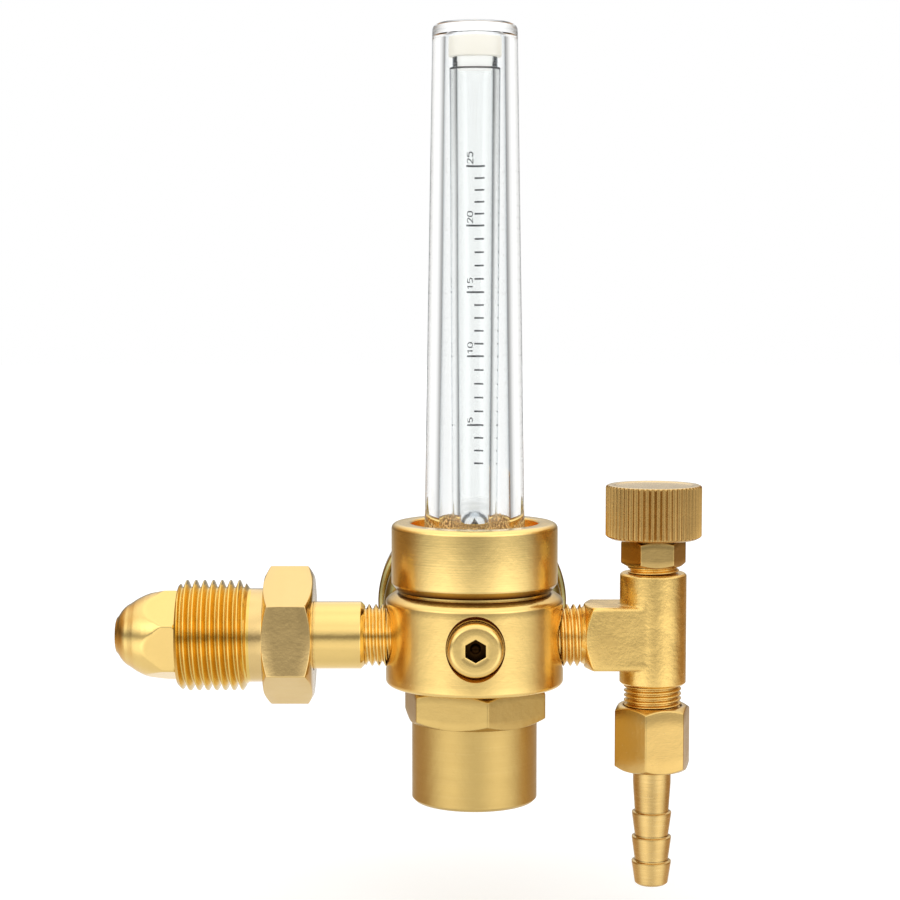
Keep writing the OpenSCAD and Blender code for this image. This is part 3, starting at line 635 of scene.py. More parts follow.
# The ring's lower lip gets painted shade where it meets the body
metal("ring_brass", base=(0.99, 0.715, 0.265), rough=0.20, axis="z", lines=0.7, blotch=0.03,
      aniso=0.2, groove=(11.5, 9.9))
metal("bonnet_brass", base=(0.66, 0.46, 0.158), rough=0.36, axis="z", lines=0.9, blotch=0.05,
      grain=0.06, grain_scale=2600.0, wave=1.5, reach=1.2)
metal("nut_brass", base=(0.80, 0.57, 0.24), rough=0.14, axis="x", lines=0.6, blotch=0.05,
      grain=0.06, grain_scale=1400.0, reach=0.8, shade_ramp=THREADED,
      zone=(-46.2, (0.86, 0.60, 0.165)))
metal("nipple_brass", rough=0.11, axis="x", lines=0.4, blotch=0.03, reach=0.8, shade_ramp=THREADED)
metal("valve_brass", base=(0.93, 0.64, 0.215), rough=0.26, **ON_VALVE, lines=0.35, blotch=0.08,
      grain=0.16, grain_scale=1300.0, wave=3.0, reach=0.8, shade_ramp=THREADED, soft=True)
metal("valve_turned_brass", base=(0.71, 0.48, 0.165), rough=0.22, **ON_VALVE, lines=0.8,
      blotch=0.05, reach=1.0)
metal("barb_brass", base=(0.74, 0.51, 0.19), rough=0.24, **ON_VALVE, lines=2.0,
      line_scale=2600.0, spread=0.10, blotch=0.14, reach=1.0, stain=(0.36, 0.19, 0.05))
metal("packing_brass", base=(0.56, 0.385, 0.14), rough=0.18, **ON_VALVE, lines=0.6,
      blotch=0.08, reach=1.2)
# face is a lighter colour painted on the knob's upward end face as a painted highlight
metal("knob_brass", base=(0.55, 0.34, 0.112), rough=0.26, **ON_VALVE, lines=0.6, blotch=0.08,
      reach=0.7, shade_ramp=((0.2, 0.0), (0.5, 0.45), (0.8, 1.0)), face=(0.84, 0.66, 0.38))
# The cap's socket is painted near black, as painted shade
metal("cap_brass", rough=0.20, axis="y", lines=1.0, blotch=0.03, shade_tint=(0.02, 0.012, 0.008),
      socket=(20.35, 18.9))
metal("inner_brass", rough=0.28, lines=0.5)
metal("bronze", base=(0.62, 0.36, 0.16), rough=0.42, lines=0.2, grain=0.5, grain_scale=3000.0)
metal("steel", base=(0.62, 0.62, 0.64), rough=0.26, lines=0.5, stain=(0.35, 0.34, 0.33))
metal("spring_steel", base=(0.55, 0.55, 0.57), rough=0.3, lines=0.7, stain=(0.3, 0.29, 0.28))
metal("ball_steel", base=(0.86, 0.87, 0.89), rough=0.04, lines=0.03, spread=0.01,
      stain=(0.5, 0.5, 0.5), wave=0.1, local=True)
metal("black_steel", base=(0.06, 0.06, 0.065), rough=0.4, lines=0.3, stain=(0.1, 0.07, 0.05))
metal("gauge_lacquer", base=(0.50, 0.42, 0.17), rough=0.20, axis="y", lines=0.35, blotch=0.06,
      stain=(0.28, 0.20, 0.06))
plain("black_paint", base=(0.012, 0.012, 0.013), rough=0.45, bumps=0.05)
plain("print_ink", base=(0.02, 0.021, 0.024), bumps=0.02, amount=0.1)
plain("dial_paint", base=(0.86, 0.86, 0.84), bumps=0.04, amount=0.02)
# The cream plastic glows a little as painted light, and more where the clear wall is round it
plain("cream_plastic", base=(0.90, 0.86, 0.76), rough=0.42, bumps=0.05, amount=0.03,
      second=(0.86, 0.74, 0.62), glow=0.35, lit=(118.7, 0.30))
plain("seat_plastic", base=(0.86, 0.81, 0.70), rough=0.45, bumps=0.05, amount=0.04)
plain("white_plastic", base=(0.82, 0.81, 0.78), bumps=0.05, amount=0.05)
plain("black_rubber", base=(0.02, 0.02, 0.021), rough=0.6, bumps=0.15)
plain("red_fibre", base=(0.30, 0.06, 0.035), rough=0.7, bumps=0.3, scale=500.0)
clear("clear_plastic", foot=22.7)
clear("meter_plastic", foot=22.7, bore_end_height=116.3, glow_span=(23.0, 28.9))
clear("lens_plastic", ior=1.49)


# ------------------------------------------------------------------- pieces

def dress(obj, material):
    obj.data.materials.clear()
    obj.data.materials.append(MATERIALS[material])


def put(obj, material, body, replaced=None):
    """Gives a piece its material, the body it rides on and the CAD node it replaces."""
    dress(obj, material)
    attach(obj, body)
    if replaced:
        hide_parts(replaced)


def build_body():
    inner = fillet([(4.4, 0), (4.4, 2.9), (-0.6, 2.9), (-0.6, 4.05), (-3.4, 4.05), (-3.4, 8.5),
                    (-4.6, 8.5), (-4.6, 11.0)], 0.08, 2)
    outer = [(-10.1, 11.0), *arc(-9.0, 17.35, 1.1, -90, 0, 6), (7.1, 18.45), (7.45, 18.38),
             (7.75, 18.2), (8.05, 17.95), (8.3, 17.6), (8.75, 16.95), (9.02, 16.5), (9.1, 16.2),
             (9.1, 15.6)]
    top = fillet([(9.1, 15.6), (13, 15.6), (13, 14.2), (11.6, 14.2), (11.6, 12.2), (13, 12.2),
                  (13, 11.4), (8.8, 11.4), (8.8, 7.8), (11.8, 7.8), (11.8, 4.75), (11, 4.75),
                  (11, 6.2), (9.4, 6.2), (9.4, 4.75), (8, 4.75), (8, 4.2), (6.8, 4.2), (6.8, 0)],
                 0.1, 2)[1:]
    # More rows up the wall, so that the holes' rims stay smooth
    wall = []
    for s, r in outer:
        if wall and abs(s - wall[-1][0]) > 4:
            s0, r0 = wall[-1]
            wall += [(s0 + (s - s0) * k / 12, r0 + (r - r0) * k / 12) for k in range(1, 12)]
        wall.append((s, r))
    skin = loft("regulator_body_skin", inner + wall + top, angles(240))
    port = [(12.0, 0), (12.0, 6.45), (17.6, 6.45), (18.6, 7.2), (20.0, 7.2), (20.0, 0)]
    mirrored = [(-s, r) for s, r in reversed(port)]
    relief = fillet([(9.8, 0), (9.8, 4.05), (17.05, 4.05), (17.05, 5.96), (17.45, 5.98),
                     (18.45, 6.7), (20.4, 8.1), (20.4, 0)],
                    [0, 0, 0.1, 0.15, 0.2, 0.5, 0, 0], 3)
    boolean(skin, [
        loft("inlet_port", mirrored, angles(96), axis="x"),
        rod("gauge_port", 12.0, 20.0, 6.45, 96, axis="y"),
        loft("outlet_port", port, angles(96), axis="x"),
        loft("relief_port", relief, angles(144), axis="-y"),
    ])
    put(skin, "body_brass", "regulator", "regulator_body")


def build_ring():
    outline = [(9.6, 15.65), (9.6, 16.06), (11.1, 17.23), *arc(22.4, 16.03, 1.2, 0, 90, 6),
               (23.6, 13.5), (23.3, 13.2), (19.6, 13.2), (19.6, 15.65)]
    radii = [0.05, 0.12, 0.25] + [0] * 7 + [0.12, 0.12, 0.1, 0.1]
    skin = loft("tube_retaining_ring_skin", fillet(outline, radii, 3, loop=True), angles(240),
                wrap=True)
    put(skin, "ring_brass", "regulator", "tube_retaining_ring")


def build_bonnet():
    corner = -20.6
    around = angles(216, corner)
    hexagon = polygon(around, across=27, corner=corner, rounding=0.45)
    low = fillet([(-34.4, 4.3), (-34.4, 12.4), (-33.8, 13.0), (-17.65, 13.0), (-17.65, 13.42)],
                 [0, 0.2, 0.25, 0.1, 0], 3)
    rows = low[:-1]
    rows += nut_rows((-17.65, 13.42, CONE), (-10.15, 13.42, CONE), hexagon, fit=0.12)
    rows += [(-10.15, 10.95), (-5.8, 10.95), (-5.8, 7.6), (-31, 7.6), (-31, 4.0), (-34.1, 4.0)]
    skin = loft("bonnet_skin", rows, around, wrap=True)
    boolean(skin, [rod("hole", 6, 16, 0.8, 32, axis="y", at=(0, 0, -22))])
    put(skin, "bonnet_brass", "regulator", "bonnet")


def build_inlet_nut():
    corner = 27.1
    around = angles(216, corner)
    hexagon = polygon(around, across=25, corner=corner, rounding=0.35)
    thread = Thread(INLET_END, -46.9, crest=11.45, root=9.95, pitch=1.814, phase=0.35,
                    lead_in=(10.4, 1.0), run_out=(9.85, 1.5))
    rows = [(INLET_END, 7.45), (INLET_END, 9.0), thread]
    rows += fillet([(-46.9, 9.85), (-46.75, 9.7), (-43.5, 9.7), (-43.4, 10.4)], 0.3, 3)[1:]
    rows += nut_rows((-43.4, 12.45, CONE), (-33.4, 12.45, CONE), hexagon, fit=0.12)
    rows += [(-33.4, 7.4), (-33.7, 7.08), (-61.0, 7.08)]
    skin = loft("inlet_nut_skin", rows, around, axis="x", wrap=True)
    put(skin, "nut_brass", "inlet_nut", "inlet_nut")


# The nipple's nose: (distance from the tip, radius)
NOSE = [(0, 3.3), (0.12, 3.65), (0.5, 4.05), (1.1, 5.0), (1.7, 5.7), (2.3, 6.2), (3.0, 6.6),
        (3.6, 7.0), (4.2, 7.42), (4.8, 7.75), (5.4, 8.05), (6.1, 8.37), (7.3, 8.8), (8.6, 9.15),
        (10.4, 9.8), (12.4, 9.84), (13.0, 9.5)]


def build_nipple():
    corner = -19.2
    around = angles(216, corner)
    hexagon = polygon(around, across=17, corner=corner, rounding=0.5)
    rows = [(NIPPLE_TIP, 2.5)]
    for s in [*np.arange(0, 1.2, 0.1), *np.arange(1.2, 13.01, 0.2)]:
        r = np.interp(s, *zip(*NOSE))
        rows.append((NIPPLE_TIP + s, smooth_min(r, hexagon, 0.18 if s > 1 else 0.02)))
    rows += [(NIPPLE_TIP + 13.02, smooth_min(9.3, hexagon, 0.1)), (NIPPLE_TIP + 13.05, 6.98)]
    rows += fillet([(INLET_END, 6.98), (-40.0, 6.98), (-30.0, 6.98), (-23.55, 6.98),
                    (-22.8, 6.2)], [0, 0, 0, 0.35, 0], 4)[1:]
    rows.append(Thread(-22.8, NIPPLE_END, crest=6.42, root=5.5, pitch=1.411, phase=0.6,
                       lead_in=(6.0, 0.9), run_out=(5.8, 1.0)))
    rows += [(NIPPLE_END, 4.2), (-12.3, 4.0), (-17.05, 4.0), (-17.05, 2.2),
             (NIPPLE_TIP + 0.25, 2.2)]
    skin = loft("inlet_nipple_skin", rows, around, axis="x", wrap=True)
    put(skin, "nipple_brass", "regulator", "inlet_nipple")


def valve_bar():
    """Square bar from the barrel to the body, with its turned -X end and pipe thread."""
    corner = 45
    around = angles(144, corner, corners=4, width=8)
    square = polygon(around, across=13.2, corner=corner, rounding=0.7, sides=4)
    rows = [(12.1, 0), Thread(12.1, 22.0, crest=6.42, root=5.5, pitch=1.411, phase=0.2,
                              lead_in=(5.8, 1.0), run_out=(6.42, 0.0))]
    rows += [(22.1, 5.7), (22.8, 6.1)]
    rows += nut_start(22.8, 6.45, CONE, square, fit=0.25)
    rows += flat_rows(rows[-1][0], VALVE_X - 1e-3, square)
    rows += [(VALVE_X, square), (VALVE_X, 0)]
    return loft("bar", rows, around, axis="x")


def build_valve_body():
    on_valve = (VALVE_X, 0, 0)
    rows = [(-20, 0), Thread(-20, -10.1, crest=5.95, root=5.28, pitch=1.0, phase=0.1,
                             lead_in=(5.45, 1.0), run_out=(5.75, 2.0))]
    rows += fillet([(-10.1, 5.75), (-10.1, 6.45), (-9.7, 6.9), (-6, 6.9), (0, 6.9), (8, 6.9),
                    (12.7, 6.9), (13.1, 6.5), (13.1, 5.0)],
                   [0, 0.2, 0.3, 0, 0, 0, 0.3, 0.2, 0], 3)[1:]
    rows += [Thread(13.1, 18.2, crest=5.3, root=4.75, pitch=1.0, phase=0.4,
                    lead_in=(4.95, 2), run_out=(5.0, 1.0)), (18.2, 0)]
    skin = loft("valve_body_skin", rows, angles(180), at=on_valve)
    boolean(skin, [valve_bar()], "UNION")
    bore = [(-21, 0), (-21, 2.4), (-5.25, 2.4), (-5.25, 1.1), (-2.95, 1.1), (-2.95, 2.95),
            (15.35, 2.95), (15.35, 4.0), (19, 4.0), (19, 0)]
    boolean(skin, [loft("bore", bore, angles(64), at=on_valve),
                   rod("side_bore", 11, VALVE_X - 0.3, 2.2, 48, axis="x")])
    put(skin, "valve_brass", "regulator", "valve_body")


def build_packing_nut():
    corner = 3
    around = angles(180, corner)
    hexagon = polygon(around, across=11.8, corner=corner, rounding=0.3)
    rows = [(14.6, 5.35)] + nut_rows((14.6, 5.7, CONE), (20, 5.84, 1.6), hexagon, fit=0.08)
    rows += fillet([(20, 5.5), (20, 2.1), (18.4, 2.1), (18.4, 5.35), (14.6, 5.35)],
                   0.06, 2)[1:-1]
    skin = loft("packing_nut_skin", rows, around, at=(VALVE_X, 0, 0), wrap=True)
    put(skin, "packing_brass", "regulator", "packing_nut")


def build_knob():
    flutes = 56
    around = np.radians(np.arange(0, 360, 360 / (flutes * 8)))
    full = 9.95 - 0.42 * np.abs(np.cos(flutes * around / 2)) ** 0.8
    rows = [(29.5, 0), (29.5, 2.02), (20.2, 2.02), (20.2, 8.6), (20.25, 9.0), (20.45, 9.3)]
    rows += [(20.6, np.minimum(9.6, full)), (20.8, np.minimum(9.85, full))]
    rows += [(s, full) for s in (20.95, 24, 27, 30.9)]
    rows += [(31.08, np.minimum(9.88, full)), (31.22, np.minimum(9.72, full)),
             (31.34, np.minimum(9.52, full - 0.03)), (31.4, np.minimum(9.36, full - 0.12)),
             (31.4, 8.9)]
    # Face: a shallow turned dish
    rows += [(31.4, 8.2), (31.34, 8.05), (31.22, 7.9), (31.2, 7.6), (31.2, 4.0), (31.18, 1.0),
             (31.17, 0)]
    skin = loft("control_knob_skin", rows, around, at=(VALVE_X, 0, 0))
    screw_hole = [(1.0, 0), (1.0, 1.25), (12, 1.25), (12, 0)]
    hole = loft("hole", screw_hole, angles(40), axis="y", at=(VALVE_X, 0, 25.8))
    boolean(skin, [hole], sharp=45)
    put(skin, "knob_brass", "knob", "control_knob")


def build_outlet_nut():
    corner = 15.6
    around = angles(180, corner)
    hexagon = polygon(around, across=14.4, corner=corner, rounding=0.3)
    rows = [(-28, 4.1)] + nut_rows((-28, 7.0, 1.5), (-14.6, 6.9, 1.5), hexagon, fit=0.1)
    rows += fillet([(-14.6, 6.4), (-14.6, 6.2), (-14.9, 6.0), (-23.2, 6.0), (-23.2, 4.1),
                    (-28, 4.1)], 0.08, 2)[1:-1]
    skin = loft("outlet_nut_skin", rows, around, at=(VALVE_X, 0, 0), wrap=True)
    put(skin, "valve_turned_brass", "outlet_nut", "outlet_nut")


def build_barb():
    outline = [(-52.6, 2.2), (-52.6, 3.0), (-52.2, 3.45)]
    for i, crest in enumerate((-47.6, -42.4, -37.2)):
        low = -51.9 if i == 0 else crest - 4.75
        outline += [(low, 3.5), (crest - 0.4, 4.10), (crest - 0.02, 4.10), (crest + 0.12, 3.55)]
    outline += [(-36.6, 3.55), (-31, 3.94), (-23.15, 3.94), (-23.15, 5.6), (-20.95, 5.6),
                (-20.95, 2.2)]
    radii = [0.05, 0.2, 0.2] + [0.2, 0.12, 0.06, 0.12] * 3 + [0.5, 0.5, 0.05, 0.1, 0.1, 0.05]
    skin = loft("hose_barb_skin", fillet(outline, radii, 3, loop=True), angles(128),
                at=(VALVE_X, 0, 0), wrap=True)
    put(skin, "barb_brass", "barb", "hose_barb")


def build_cap():
    """Relief cap, with a hexagon socket in its -Y end."""
    corner = 90
    around = angles(144, corner, width=10)
    socket = polygon(around, across=4, corner=corner, rounding=0.08)
    rows = [(16.35, 0), (16.35, 1.2), (16.4, 1.25), (16.4, 2.9), (10.5, 2.9), (10.5, 3.75),
            (10.8, 4.0), (17.45, 4.0), (17.45, 5.35), (17.6, 5.5)]
    rows += arc(19.3, 4.35, 1.15, 0, 90, 6)
    rows += [(20.45, 3.4), (20.45, socket + 0.22), (20.38, socket + 0.08), (20.25, socket),
             (17.45, socket), (17.45, 1.2), (17.3, 1.0), (16.75, 0)]
    skin = loft("relief_cap_skin", rows, around, axis="-y")
    put(skin, "cap_brass", "regulator", "relief_cap")


def build_tube_cover():
    """Blind clear tube: outside from foot to crown, then the bore from its roof to the foot."""
    outer = [(13, 8.7), (13, 15.4), (19.1, 15.4), (19.5, 15.0), (19.5, 12.7), (19.9, 11.6),
             (20.7, 10.9), (21.8, 10.55), (23.2, 10.42), (25.7, 10.3), (60, 9.741), (118, 8.8),
             (124.0, 8.7), *arc(124.2, 7.2, 1.5, 15, 90, 5), (125.7, 0)]
    outer = fillet(outer, [0] + [0.1] * 3 + [0.4] * 5 + [0] * (len(outer) - 9), 3)
    inner = [(123.5, 0), (123.5, 5.2), (123.2, 5.8), (122.6, 6.1), (118, 6.15), (60, 6.844),
             (24, 7.35), (14.8, 7.4), (13.2, 8.7), (13, 8.7)]
    inner = fillet(inner, [0, 0.3, 0.3, 0.3, 0, 0, 0, 0.2, 0.2, 0], 3)
    skin = two_skins("tube_cover_skin", (outer, inner), angles(192))
    put(skin, "clear_plastic", "regulator", "tube_cover")


def build_metering_tube():
    outline = [(8.02, 3.1), (8.02, 4.4), (8.3, 4.7), (20, 4.7), (60, 4.895), (116.4, 5.17),
               (116.6, 5.05), (116.6, 4.6), (118.7, 4.6), (118.7, 3.75), (60, 3.359), (21, 3.1)]
    radii = [0.05, 0.05, 0.1, 0, 0, 0.1, 0.1, 0.1, 0.1, 0.05, 0, 0]
    skin = loft("metering_tube_skin", fillet(outline, radii, 2, loop=True), angles(192),
                wrap=True)
    put(skin, "meter_plastic", "regulator", "metering_tube")


def build_tube_top_cap():
    outline = [(115.6, 2.0), (115.6, 3.3), (115.9, 3.6), (118.72, 3.6), (118.72, 5.2),
               (118.95, 5.4), (122.5, 5.4), (123.15, 4.9), (123.15, 4.0), (122.6, 3.6),
               (122.6, 2.0)]
    skin = loft("tube_top_cap_skin", fillet(outline, 0.12, 2, loop=True), angles(96), wrap=True)
    boolean(skin, [rod("cross_hole", -6, 6, 0.9, 32, axis="x", at=(0, 0, 120.6))])
    put(skin, "cream_plastic", "regulator", "tube_top_cap")


def build_ball():
    skin = loft("float_ball_skin", arc(23.3, 0, 2.95, -90, 90, 36), angles(72))
    put(skin, "ball_steel", "float", "float_ball")


# ----------------------------------------------------------------- printing

# Strokes of the figures in a box 0.6 wide and 1 high
FIGURES = {
    "0": [[(0.3, 1), (0.12, 0.93), (0.02, 0.75), (0, 0.5), (0.02, 0.25), (0.12, 0.07), (0.3, 0),
           (0.48, 0.07), (0.58, 0.25), (0.6, 0.5), (0.58, 0.75), (0.48, 0.93), (0.3, 1)]],
    "1": [[(0.1, 0.8), (0.35, 1), (0.35, 0)]],
    "2": [[(0.03, 0.75), (0.1, 0.92), (0.3, 1), (0.5, 0.92), (0.57, 0.72), (0.45, 0.48),
           (0.02, 0), (0.6, 0)]],
    "5": [[(0.55, 1), (0.1, 1), (0.05, 0.55), (0.3, 0.63), (0.55, 0.5), (0.6, 0.3),
           (0.5, 0.07), (0.28, 0), (0.02, 0.1)]],
}


class Print:
    """Flat printed lines gathered into one mesh, from low to high above their surface.

    place turns two coordinates on the surface and a height into a point.
    """

    def __init__(self, low, high):
        self.low, self.high = low, high
        self.verts, self.faces = [], []

    def ribbon(self, sides, place):
        """A closed strip between pairs of (left, right) points."""
        start = len(self.verts)
        for left, right in sides:
            self.verts += [place(*left, self.low), place(*right, self.low),
                           place(*right, self.high), place(*left, self.high)]
        end = len(self.verts) - 4
        for a in range(start, end, 4):
            for k in range(4):
                k2 = (k + 1) % 4
                self.faces.append([a + k, a + 4 + k, a + 4 + k2, a + k2])
        self.faces.append([start, start + 1, start + 2, start + 3])
        self.faces.append([end + 3, end + 2, end + 1, end])

    def stroke(self, points, width, place, step=0.4):
        fine = [np.array(points[0], float)]
        for point in points[1:]:
            last = fine[-1]
            way = np.array(point, float) - last
            count = max(1, int(math.ceil(np.linalg.norm(way) / step)))
            fine += [last + way * i / count for i in range(1, count + 1)]
        sides = []
        for i, point in enumerate(fine):
            before = fine[max(i - 1, 0)]
            after = fine[min(i + 1, len(fine) - 1)]
            course = (after - before) / max(np.linalg.norm(after - before), 1e-9)
            side = np.array([-course[1], course[0]]) * width / 2
            if 0 < i < len(fine) - 1:
                # Widened at a bend, so that the line keeps its width
                arrive = (point - before) / max(np.linalg.norm(point - before), 1e-9)
                side = side / max(0.6, abs(float(arrive @ course)))
            sides.append((point + side, point - side))
        self.ribbon(sides, place)

    def finish(self, name):
        obj = make(name, from_body(self.verts), self.faces, tidy=False)
        bm = bmesh.new()
        bm.from_mesh(obj.data)
        bmesh.ops.recalc_face_normals(bm, faces=bm.faces)
        bm.to_mesh(obj.data)
        bm.free()
        put(obj, "print_ink", "regulator")


# Flow marks: figure and height up the cover
MARKS = {25: 96.0, 20: 84.1, 15: 70.7, 10: 57.7, 5: 43.2, 4: 40.5, 3: 37.8, 2: 35.1}


def build_scale():
    """Printed flow scale on the +Y side of the cover."""
    ink = Print(low=-0.012, high=0.012)
    long_marks = (25, 20, 15, 10, 5)

    def place(u, z, height):
        # u runs towards +X round the cover
        radius = np.interp(z, *COVER_TAPER)
        angle = u / radius
        radius = radius + height
        return (radius * math.sin(angle), radius * math.cos(angle), z)

    for flow in long_marks:
        ink.stroke([(-3.4, MARKS[flow]), (4.1, MARKS[flow])], 0.40, place)
    short = [MARKS[a] + (MARKS[b] - MARKS[a]) * k / 5
             for a, b in zip(long_marks, long_marks[1:]) for k in range(1, 5)]
    for z in short + [MARKS[flow] for flow in (4, 3, 2)]:
        ink.stroke([(0.0, z), (4.0, z)], 0.36, place)
    # Figures lie on their side above each long mark
    size = 2.6
    for flow in long_marks:
        for i, figure in enumerate(str(flow)):
            for line in FIGURES[figure]:
                points = [(-0.7 - y * size * 0.9,
                           MARKS[flow] + 0.55 + (i * 0.8 + x) * size * 0.62) for x, y in line]
                ink.stroke(points, 0.28, place)
    ink.finish("flow_scale_print")


def build_dial_print():
    """Seen from +Y, the scale runs clockwise from the lower left."""
    ink = Print(low=-0.01, high=0.02)

    def polar(degrees, radius, height):
        turn = math.radians(degrees)
        return (radius * math.sin(turn), DIAL_Y + height, -radius * math.cos(turn))

    for radius, width in ((16.6, 0.18), (15.0, 0.12)):
        turns = [45 + (315 - 45) * i / 90 for i in range(91)]
        ink.ribbon([((turn, radius - width / 2), (turn, radius + width / 2)) for turn in turns],
                   polar)
    for i in range(51):
        turn = math.radians(45 + 270 * i / 50)
        start = 13.9 if i % 10 == 0 else 14.5 if i % 5 == 0 else 15.0

        def mark(x, y, height):
            # x across the mark, y outwards
            return (y * math.sin(turn) + x * math.cos(turn), DIAL_Y + height,
                    -y * math.cos(turn) + x * math.sin(turn))

        ink.stroke([(0, start), (0, 16.6)], 0.32 if i % 10 == 0 else 0.2, mark)
    size = 2.3
    for i, text in enumerate(("0", "5", "10", "15", "20", "25")):
        turn = math.radians(45 + 54 * i)
        centre_x, centre_z = 11.6 * math.sin(turn), -11.6 * math.cos(turn)
        width = (0.78 * len(text) - 0.18) * size

        def upright(x, y, height):
            # The reader's right is -X
            return (centre_x - x, DIAL_Y + height, centre_z + y)

        for k, figure in enumerate(text):
            for line in FIGURES[figure]:
                points = [((k * 0.78 + x) * size - width / 2, (y - 0.5) * size)
                          for x, y in line]
                ink.stroke(points, 0.3, upright)
    ink.finish("dial_print")


def build_gauge():
    around = angles(200)
    case = [(32, 5.05), *arc(35.2, 16.8, 3.2, -90, 0, 8), (48.95, 20), (49.0, 19.95),
            (49.0, 19.25), (48.95, 19.2), *arc(35.2, 16.8, 2.4, 0, -90, 8), (32.8, 5.05)]
    skin = loft("gauge_case_skin", case, around, axis="y", wrap=True)
    put(skin, "gauge_lacquer", "regulator", "gauge_case")

    rim = 21.6
    bezel = [(46.5, 20.05), (46.5, rim - 0.9), (46.8, rim - 0.35), (47.3, rim), (50.2, rim),
             (50.35, rim - 0.2), (50.7, rim - 0.2), (50.85, rim), (54.4, rim),
             (55.3, rim - 0.5), (55.85, rim - 1.4), (56, rim - 2.4), (55.7, rim - 3.4),
             (55.3, 17.85), (54.6, 17.85), (54.6, 20.05), (52.8, 20.05)]
    skin = loft("gauge_bezel_skin", fillet(bezel, 0.1, 2, loop=True), around, axis="y",
                wrap=True)
    put(skin, "gauge_lacquer", "regulator", "gauge_bezel")

    lens = [(53.5, 0), (53.5, 20), (54.55, 20), (54.55, 17.7), (55.0, 17.4), (55.2, 16.9),
            (55.2, 0)]
    skin = loft("gauge_lens_skin", fillet(lens, 0.08, 2), around, axis="y")
    put(skin, "lens_plastic", "regulator", "gauge_lens")

    dial = [(47.6, 1.3), (47.6, 18.4), (DIAL_Y, 18.4), (DIAL_Y, 1.3)]
    skin = loft("gauge_dial_skin", fillet(dial, 0.08, 2, loop=True), around, axis="y",
                wrap=True)
    put(skin, "dial_paint", "regulator", "gauge_dial")
    build_dial_print()


# ---------------------------------------------------- springs and diaphragm

def coil(name, radius, wire, start, end, turns, axis, per_turn=24, sides=12):
    """A compression spring of round wire (wire is its radius) with closed ends."""
    count = int(math.ceil(turns * per_turn))
    closed = 2.2 * wire
    verts = []
    for i in range(count + 1):
        u = turns * i / count
        if u < 1:
            s = start + wire + closed * u
        elif u > turns - 1:
            s = end - wire - closed * (turns - u)
        else:
            rise = end - start - 2 * wire - 2 * closed
            s = start + wire + closed + rise * (u - 1) / (turns - 2)
        turn = 2 * math.pi * u
        for j in range(sides):
            roll = 2 * math.pi * j / sides
            out = radius + wire * math.cos(roll)
            verts.append((out * math.cos(turn), out * math.sin(turn), s + wire * math.sin(roll)))
    verts = np.array(verts)
    if axis == "-y":
        verts = np.c_[verts[:, 0], -verts[:, 2], verts[:, 1]]
    faces = []
    for i in range(count):
        for j in range(sides):
            a, b = i * sides + j, i * sides + (j + 1) % sides
            faces.append([a, a + sides, b + sides, b])
    faces += [list(range(sides)), [count * sides + j for j in range(sides - 1, -1, -1)]]
    return make(name, from_body(verts), faces, tidy=False)


def build_springs():
    # The main spring stops short of the backing plate by the plate's travel
    skin = coil("main_spring_wire", radius=5.85, wire=0.8, start=-26.0, end=-6.05, turns=6.5,
                axis="z")
    put(skin, "spring_steel", "regulator", "main_spring")
    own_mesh(skin)
    skin = coil("relief_spring_wire", radius=2.2, wire=0.3, start=11.66, end=16.38, turns=5,
                axis="-y", per_turn=20, sides=10)
    put(skin, "spring_steel", "regulator", "relief_spring")
    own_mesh(skin)


def build_diaphragm():
    """The middle goes with its plates, the rim stays clamped."""
    for name, inner, outer, body in (("diaphragm_middle", 1.95, 7.58, "diaphragm_plates"),
                                     ("diaphragm_rim", 7.6, 10.9, "regulator")):
        outline = [(-5.0, inner), (-5.0, outer), (-4.6, outer), (-4.6, inner)]
        skin = loft(name, fillet(outline, 0.04, 2, loop=True), angles(120), wrap=True)
        put(skin, "black_rubber", body, "diaphragm")


# CAD pieces that are kept as they are, and their materials
KEPT = {
    "slip_ring": "steel", "diaphragm_plate": "inner_brass", "backing_plate": "steel",
    "spring_button": "inner_brass", "preset_screw": "inner_brass", "nozzle": "inner_brass",
    "poppet": "inner_brass", "poppet_seat_disc": "white_plastic",
    "poppet_spring": "spring_steel", "inlet_filter": "bronze", "ball_seat": "seat_plastic",
    "cover_o_ring": "black_rubber", "metering_tube_o_ring": "black_rubber",
    "gauge_socket": "inner_brass", "gauge_pointer": "black_paint",
    "pinion_arbor": "inner_brass", "sector_gear": "inner_brass", "gauge_link": "steel",
    "bourdon_tube": "bronze", "bourdon_tip": "inner_brass", "movement_plates": "inner_brass",
    "movement_screws": "steel", "hairspring": "spring_steel", "stop_pin": "inner_brass",
    "relief_gasket": "red_fibre", "relief_poppet": "black_rubber",
    "stem_packing": "white_plastic", "valve_stem": "valve_turned_brass",
    "valve_needle": "steel", "knob_set_screw": "black_steel", "barb_seal": "white_plastic",
}

build_body()
build_ring()
build_bonnet()
build_inlet_nut()
build_nipple()
build_valve_body()
build_packing_nut()
build_knob()
build_outlet_nut()
build_barb()
build_cap()
build_tube_cover()
build_metering_tube()
build_tube_top_cap()
build_ball()
build_scale()
build_gauge()
build_springs()
build_diaphragm()
for cad_node, material_name in KEPT.items():
    dress(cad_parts[cad_node], material_name)


# --------------------------------------------------------------- the studio

TOP = 1.5  # light levels reach past 1, so ramps hold them divided by this

# (degrees above the horizon, light level)
ELEVATION = [(-90, .82), (-60, .90), (-48, .92), (-30, .92), (-20, .80), (-12, .64), (-6, .44),
             (-1, .27), (4, .25), (8, .38), (15, .62), (22, .82), (29, 1.02), (45, 1.22),
             (60, 1.36), (73, 1.42), (90, 1.3)]
